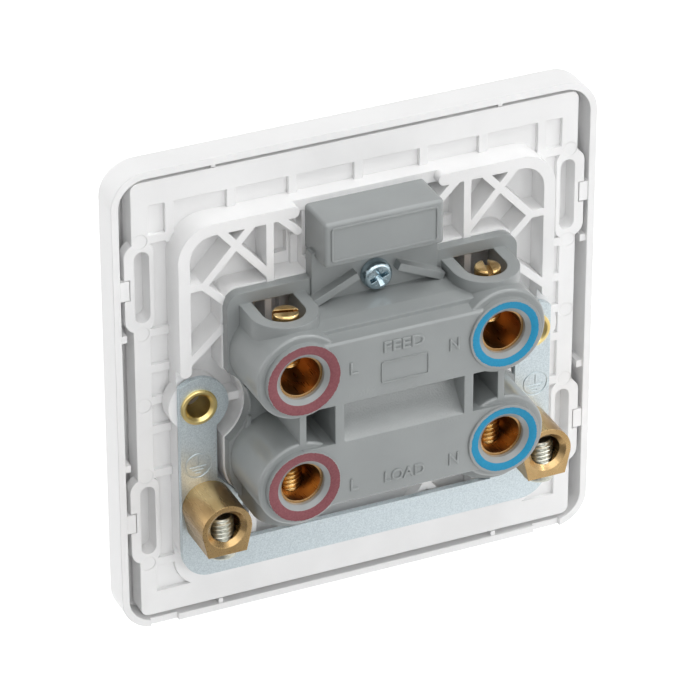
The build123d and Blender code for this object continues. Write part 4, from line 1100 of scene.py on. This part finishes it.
@dataclass
class HousingScrews:
    """The two pan head screws with a cross recess that hold the housing.

    wing_shares and tick_shares give the floor's and then the mouth's length, as shares of the recess's, and
    with each its width, as a share of the wing's or the tick's.
    """

    z_mm: float = 19.5
    seat_y: float = 6.2
    head_r: float = 2.63
    head_h: float = 1.9
    wall_h: float = 0.25
    core_h: float = 0.2
    core_in: float = 0.1
    edge: float = 0.12
    shoulder_in: float = 0.30
    shoulder_bend: tuple[float, float] = (2.2, 1.9)
    shoulder_steps: int = 7
    flat_share: float = 0.45
    steps: int = 72
    thread: Thread = Thread(1.5, 0.9, 0.3, 0.8)
    shank_end_y: float = 0.3
    recess_w: float = 0.8
    recess_l: float = 3.3
    recess_d: float = 1.35
    recess_over: float = 1.25
    wing_shares: ClassVar[tuple] = ((0.35, 0.75), (1.2, 1.12))
    tick_shares: ClassVar[tuple] = ((0.9, 0.6), (1.05, 1.0))
    tick_w: float = 0.14
    tick_d: float = 0.12
    tick_h: float = 0.4
    smooth_deg: float = 32.0
    turns: ClassVar[tuple] = ((1, "top", 20.0), (-1, "bottom", 55.0))

    def head(self, bm: bmesh.types.BMesh) -> None:
        """Turn the pan head: a low straight wall, a rounded shoulder and a flat crown.

        Args:
            bm: the mesh to draw into.
        """
        r, top, wall, edge = self.head_r, self.head_h, self.wall_h, self.edge
        core = self.thread.radius - self.core_in
        shares = [i / self.shoulder_steps for i in range(self.shoulder_steps + 1)]
        inward, upward = self.shoulder_bend
        shoulder = [(r * (1 - self.shoulder_in * t ** inward), wall + (top - wall) * (1 - (1 - t) ** upward))
                    for t in shares]
        lathe(bm, [(0, -self.core_h), (core, -self.core_h), (core, 0), (r - edge, 0), (r, edge), *shoulder,
                   (r * self.flat_share, top), (0, top)], self.steps)

    def recess(self, turn_deg: float) -> list[Drawing]:
        """Give what cuts the cross recess: two tapered wings, and two fine ticks between them.

        Args:
            turn_deg: how far round the recess stands.

        Returns:
            The cutters' drawings.
        """
        low, high = ((self.recess_l * a, self.recess_w * b) for a, b in self.wing_shares)
        wing = partial(groove, floor_z=self.head_h - self.recess_d, low=low, high=high,
                       height=self.recess_d * self.recess_over)
        low, high = ((self.recess_l * a, self.tick_w * b) for a, b in self.tick_shares)
        tick = partial(groove, floor_z=self.head_h - self.tick_d, low=low, high=high, height=self.tick_h)
        return [partial(wing, turn_deg=turn_deg), partial(wing, turn_deg=turn_deg + 90),
                partial(tick, turn_deg=turn_deg + 45), partial(tick, turn_deg=turn_deg + 135)]

    def build(self, threads: ThreadTree, material: bpy.types.Material) -> None:
        """Make both screws.

        Args:
            threads: makes the threads.
            material: their finish.
        """
        length = self.seat_y - self.shank_end_y
        for level, word, turn_deg in self.turns:
            stand = Matrix.Rotation(-math.pi / 2, 4, "X")
            at = ScrewPlace(f"cross_recess_screw_{word}", f"housing_screw_{word}", "switch_body",
                            "zinc_steel", Matrix.Translation((0, self.seat_y, level * self.z_mm)) @ stand)
            shank = threads.cut(self.thread, length, material)
            fit_screw(at, self.head, self.recess(turn_deg), shank, -length / 2, self.smooth_deg, material)


@dataclass
class RaisedMarks:
    """The plain terminal letters and the outlined label field, raised on the rear face of the bars."""

    face_y: float = 18.05
    height: float = 0.24
    sink: float = 0.1
    extrude: float = 0.03
    bevel: float = 0.03
    thinner: float = -0.012
    curve_steps: int = 4
    bevel_steps: int = 1
    merge: float = 0.001
    field_half_x: float = 4.25
    field_z: tuple[float, float] = (5.88, 9.95)
    field_corner: float = 0.45
    field_corner_least: float = 0.12
    corner_turns_deg: tuple[float, ...] = (0, 22.5, 45, 67.5, 90)
    field_rise: float = 0.8
    field_foot: float = 0.05
    field_batter: float = 0.03
    line: float = 0.24
    smooth_deg: float = 25.0
    letters: ClassVar[tuple] = (
        ("L", 9.0, 10.0, 1.45, 2.2), ("L", 9.0, -12.0, 1.45, 2.2), ("N", -8.8, 10.2, 1.75, 2.2),
        ("N", -8.85, -11.6, 1.75, 2.2), ("FEED", 0.2, 12.6, 7.2, 2.0), ("LOAD", 0.05, -12.0, 7.2, 2.05))

    def outline(self, text: str) -> bpy.types.Mesh:
        """Draw a word flat, with softened edges.

        Args:
            text: what it says.

        Returns:
            Its mesh, in the font's own units.
        """
        curve = bpy.data.curves.new("word", "FONT")
        curve.body = text
        curve.extrude = self.extrude
        curve.bevel_depth = self.bevel
        curve.bevel_resolution = self.bevel_steps
        curve.offset = self.thinner
        curve.resolution_u = self.curve_steps
        source = bpy.data.objects.new("word", curve)
        bpy.context.scene.collection.objects.link(source)
        mesh = evaluated_mesh(source)
        bpy.data.objects.remove(source)
        return mesh

    def word(self, number: int, text: str, x: float, z: float, width: float, tall: float,
             material: bpy.types.Material) -> None:
        """Raise one word, so that it reads from behind.

        Args:
            number: tells equal words apart.
            text: what it says.
            x: its middle.
            z: its middle.
            width: its width.
            tall: its height.
            material: its finish.
        """
        mesh = self.outline(text)
        corners = [v.co.copy() for v in mesh.vertices]
        low = Vector([min(c[i] for c in corners) for i in range(3)])
        size = Vector([max(c[i] for c in corners) for i in range(3)]) - low
        middle = low + size / 2
        grow = (width / size.x, tall / size.y, (self.height + self.sink) / size.z, 1.0)
        fit = Matrix.Diagonal(grow) @ Matrix.Translation(-middle)
        rise = self.face_y + (self.height - self.sink) / 2
        stand = Matrix(((-1, 0, 0, x), (0, 0, 1, rise), (0, 1, 0, z), (0, 0, 0, 1)))

        def draw(bm: bmesh.types.BMesh) -> None:
            """Stand the word on the face and close its seams."""
            join(bm, mesh, stand @ fit)
            bmesh.ops.remove_doubles(bm, verts=bm.verts, dist=self.merge)
        piece = mesh_piece(f"letter_{text}_{number}", draw, material, smooth_deg=self.smooth_deg)
        settle(piece, "switch_body")

    def field_loop(self, inset: float) -> list[tuple[float, float]]:
        """Follow the label field's rounded rectangle.

        Args:
            inset: how far inside its outer edge.

        Returns:
            X and Z of each point.
        """
        low, high = self.field_z
        corner = max(self.field_corner - inset, self.field_corner_least)
        points = []
        for sx, sz, start in ((1, 1, 0), (-1, 1, 90), (-1, -1, 180), (1, -1, 270)):
            cx = sx * (self.field_half_x - inset - corner)
            cz = (low + high) / 2 + sz * ((high - low) / 2 - inset - corner)
            for turn_deg in self.corner_turns_deg:
                a = math.radians(start + turn_deg)
                points.append((cx + corner * math.cos(a), cz + corner * math.sin(a)))
        return points

    def draw_field(self, bm: bmesh.types.BMesh) -> None:
        """Draw the thin raised outline of the blank label field.

        Args:
            bm: the mesh to draw into.
        """
        foot, ridge, lean = -self.field_foot, self.height * self.field_rise, self.field_batter
        section = ((0.0, foot), (lean, ridge), (self.line - lean, ridge), (self.line, foot))
        close_rings(bm, [[bm.verts.new((x, self.face_y + y, z)) for x, z in self.field_loop(inset)]
                         for inset, y in section])

    def build(self, material: bpy.types.Material) -> None:
        """Raise every mark.

        Args:
            material: their finish.
        """
        for number, (text, x, z, width, tall) in enumerate(self.letters):
            self.word(number, text, x, z, width, tall, material)
        piece = mesh_piece("label_field", self.draw_field, material, smooth_deg=self.smooth_deg)
        settle(piece, "switch_body")


@dataclass
class StampedStrap:
    """The earth strap with a plain earth symbol stamped by each terminal.

    The height and length of the upright and of the level bars are shares of the circle's radius.
    """

    rear_y: float = 3.6
    depth: float = 0.12
    over: float = 0.3
    draft: float = 0.04
    line: float = 0.24
    circle_steps: int = 72
    upright: tuple[float, float] = (0.32, 0.75)
    level_top: float = -0.10
    level_drop: float = 0.24
    level_shares: tuple[float, ...] = (1.25, 0.85, 0.42)
    smooth_deg: float = 30.0
    symbols: ClassVar[tuple] = ((30.5, -11.05, 2.35), (-30.75, -10.55, 2.3))

    def ring(self, bm: bmesh.types.BMesh, x: float, z: float, radius: float) -> None:
        """Draw the circle's groove.

        Args:
            bm: the mesh to draw into.
            x: its middle.
            z: its middle.
            radius: to its outer edge.
        """
        angles = [math.tau * i / self.circle_steps for i in range(self.circle_steps)]
        section = ((radius, -self.depth), (radius, self.over), (radius - self.line, self.over),
                   (radius - self.line, -self.depth))
        close_rings(bm, [[bm.verts.new((x + r * math.cos(a), self.rear_y + y, z + r * math.sin(a)))
                          for a in angles] for r, y in section])

    def bar(self, bm: bmesh.types.BMesh, x: float, z: float, width: float, tall: float) -> None:
        """Draw the groove of one straight bar.

        Args:
            bm: the mesh to draw into.
            x: its middle.
            z: its middle.
            width: its length along X.
            tall: its length along Z.
        """
        stand = Matrix(((1, 0, 0, x), (0, 0, 1, self.rear_y - self.depth), (0, 1, 0, z), (0, 0, 0, 1)))
        frustum(bm, (width, tall), (width + self.draft, tall + self.draft), self.depth + self.over, stand)

    def symbol(self, x: float, z: float, radius: float) -> list[Drawing]:
        """Give what stamps one symbol: the circle, the upright and the three level bars.

        Args:
            x: its middle.
            z: its middle.
            radius: to the circle's outer edge.

        Returns:
            The stamps' drawings.
        """
        rise, tall = self.upright
        marks = [partial(self.ring, x=x, z=z, radius=radius),
                 partial(self.bar, x=x, z=z + rise * radius, width=self.line, tall=tall * radius)]
        for k, share in enumerate(self.level_shares):
            level = (self.level_top - self.level_drop * k) * radius
            marks.append(partial(self.bar, x=x, z=z + level, width=share * radius, tall=self.line))
        return marks

    def build(self, node: bpy.types.Object, material: bpy.types.Material) -> None:
        """Stamp a copy of the node and let it stand for the node.

        Args:
            node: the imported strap.
            material: its finish.
        """
        piece = mesh_piece("stamped_strap", partial(copy_node, node=node), material)
        carve(piece, [mark for symbol in self.symbols for mark in self.symbol(*symbol)], material)
        piece.data.materials.clear()
        piece.data.materials.append(material)
        piece.data.set_sharp_from_angle(angle=math.radians(self.smooth_deg))
        settle(piece, "switch_body")
        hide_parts("earth_strap")


class PlungerSprings:
    """The coil springs in the rocker, copied to ride with it."""

    def build(self, frame: dict, material: bpy.types.Material) -> None:
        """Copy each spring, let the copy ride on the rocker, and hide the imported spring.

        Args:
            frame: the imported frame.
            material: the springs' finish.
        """
        for pole in Pole:
            name, slide = f"plunger_spring_{pole.label}", f"plunger_{pole.label}_slide"
            node = frame["nodes"][name]
            piece = mesh_piece(f"coil_{name}", partial(copy_node, node=node), material)
            settle(piece, "rocker")
            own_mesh(piece)
            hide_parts(name)


def dress_frame(nodes: dict[str, bpy.types.Object], shelf: FinishShelf) -> None:
    """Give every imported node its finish.

    Args:
        nodes: node name to its object.
        shelf: holds the finishes.
    """
    for name, obj in nodes.items():
        finish = next(finish for start, finish in NODE_FINISHES if name.startswith(start))
        obj.data.materials.clear()
        obj.data.materials.append(shelf.take(finish))
        LOG.info("%s is finished in %s", name, finish.name)


def main() -> None:
    """Build the studio, dress the frame and add the fine pieces."""
    logging.basicConfig(level=logging.INFO, format="%(name)s: %(message)s")
    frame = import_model()
    Studio().build()
    shelf = FinishShelf()
    dress_frame(frame["nodes"], shelf)
    CableEntries().build(shelf)
    threads = ThreadTree()
    ClampScrews().build(threads, shelf.take(SCREW_BRASS))
    EarthScrews().build(threads, shelf.take(DULL_ZINC))
    HousingScrews().build(threads, shelf.take(BRIGHT_ZINC))
    RaisedMarks().build(shelf.take(GREY_HOUSING))
    StampedStrap().build(frame["nodes"]["earth_strap"], shelf.take(ZINC))
    PlungerSprings().build(frame, shelf.take(BRIGHT_ZINC))


if __name__ == "__main__":
    main()
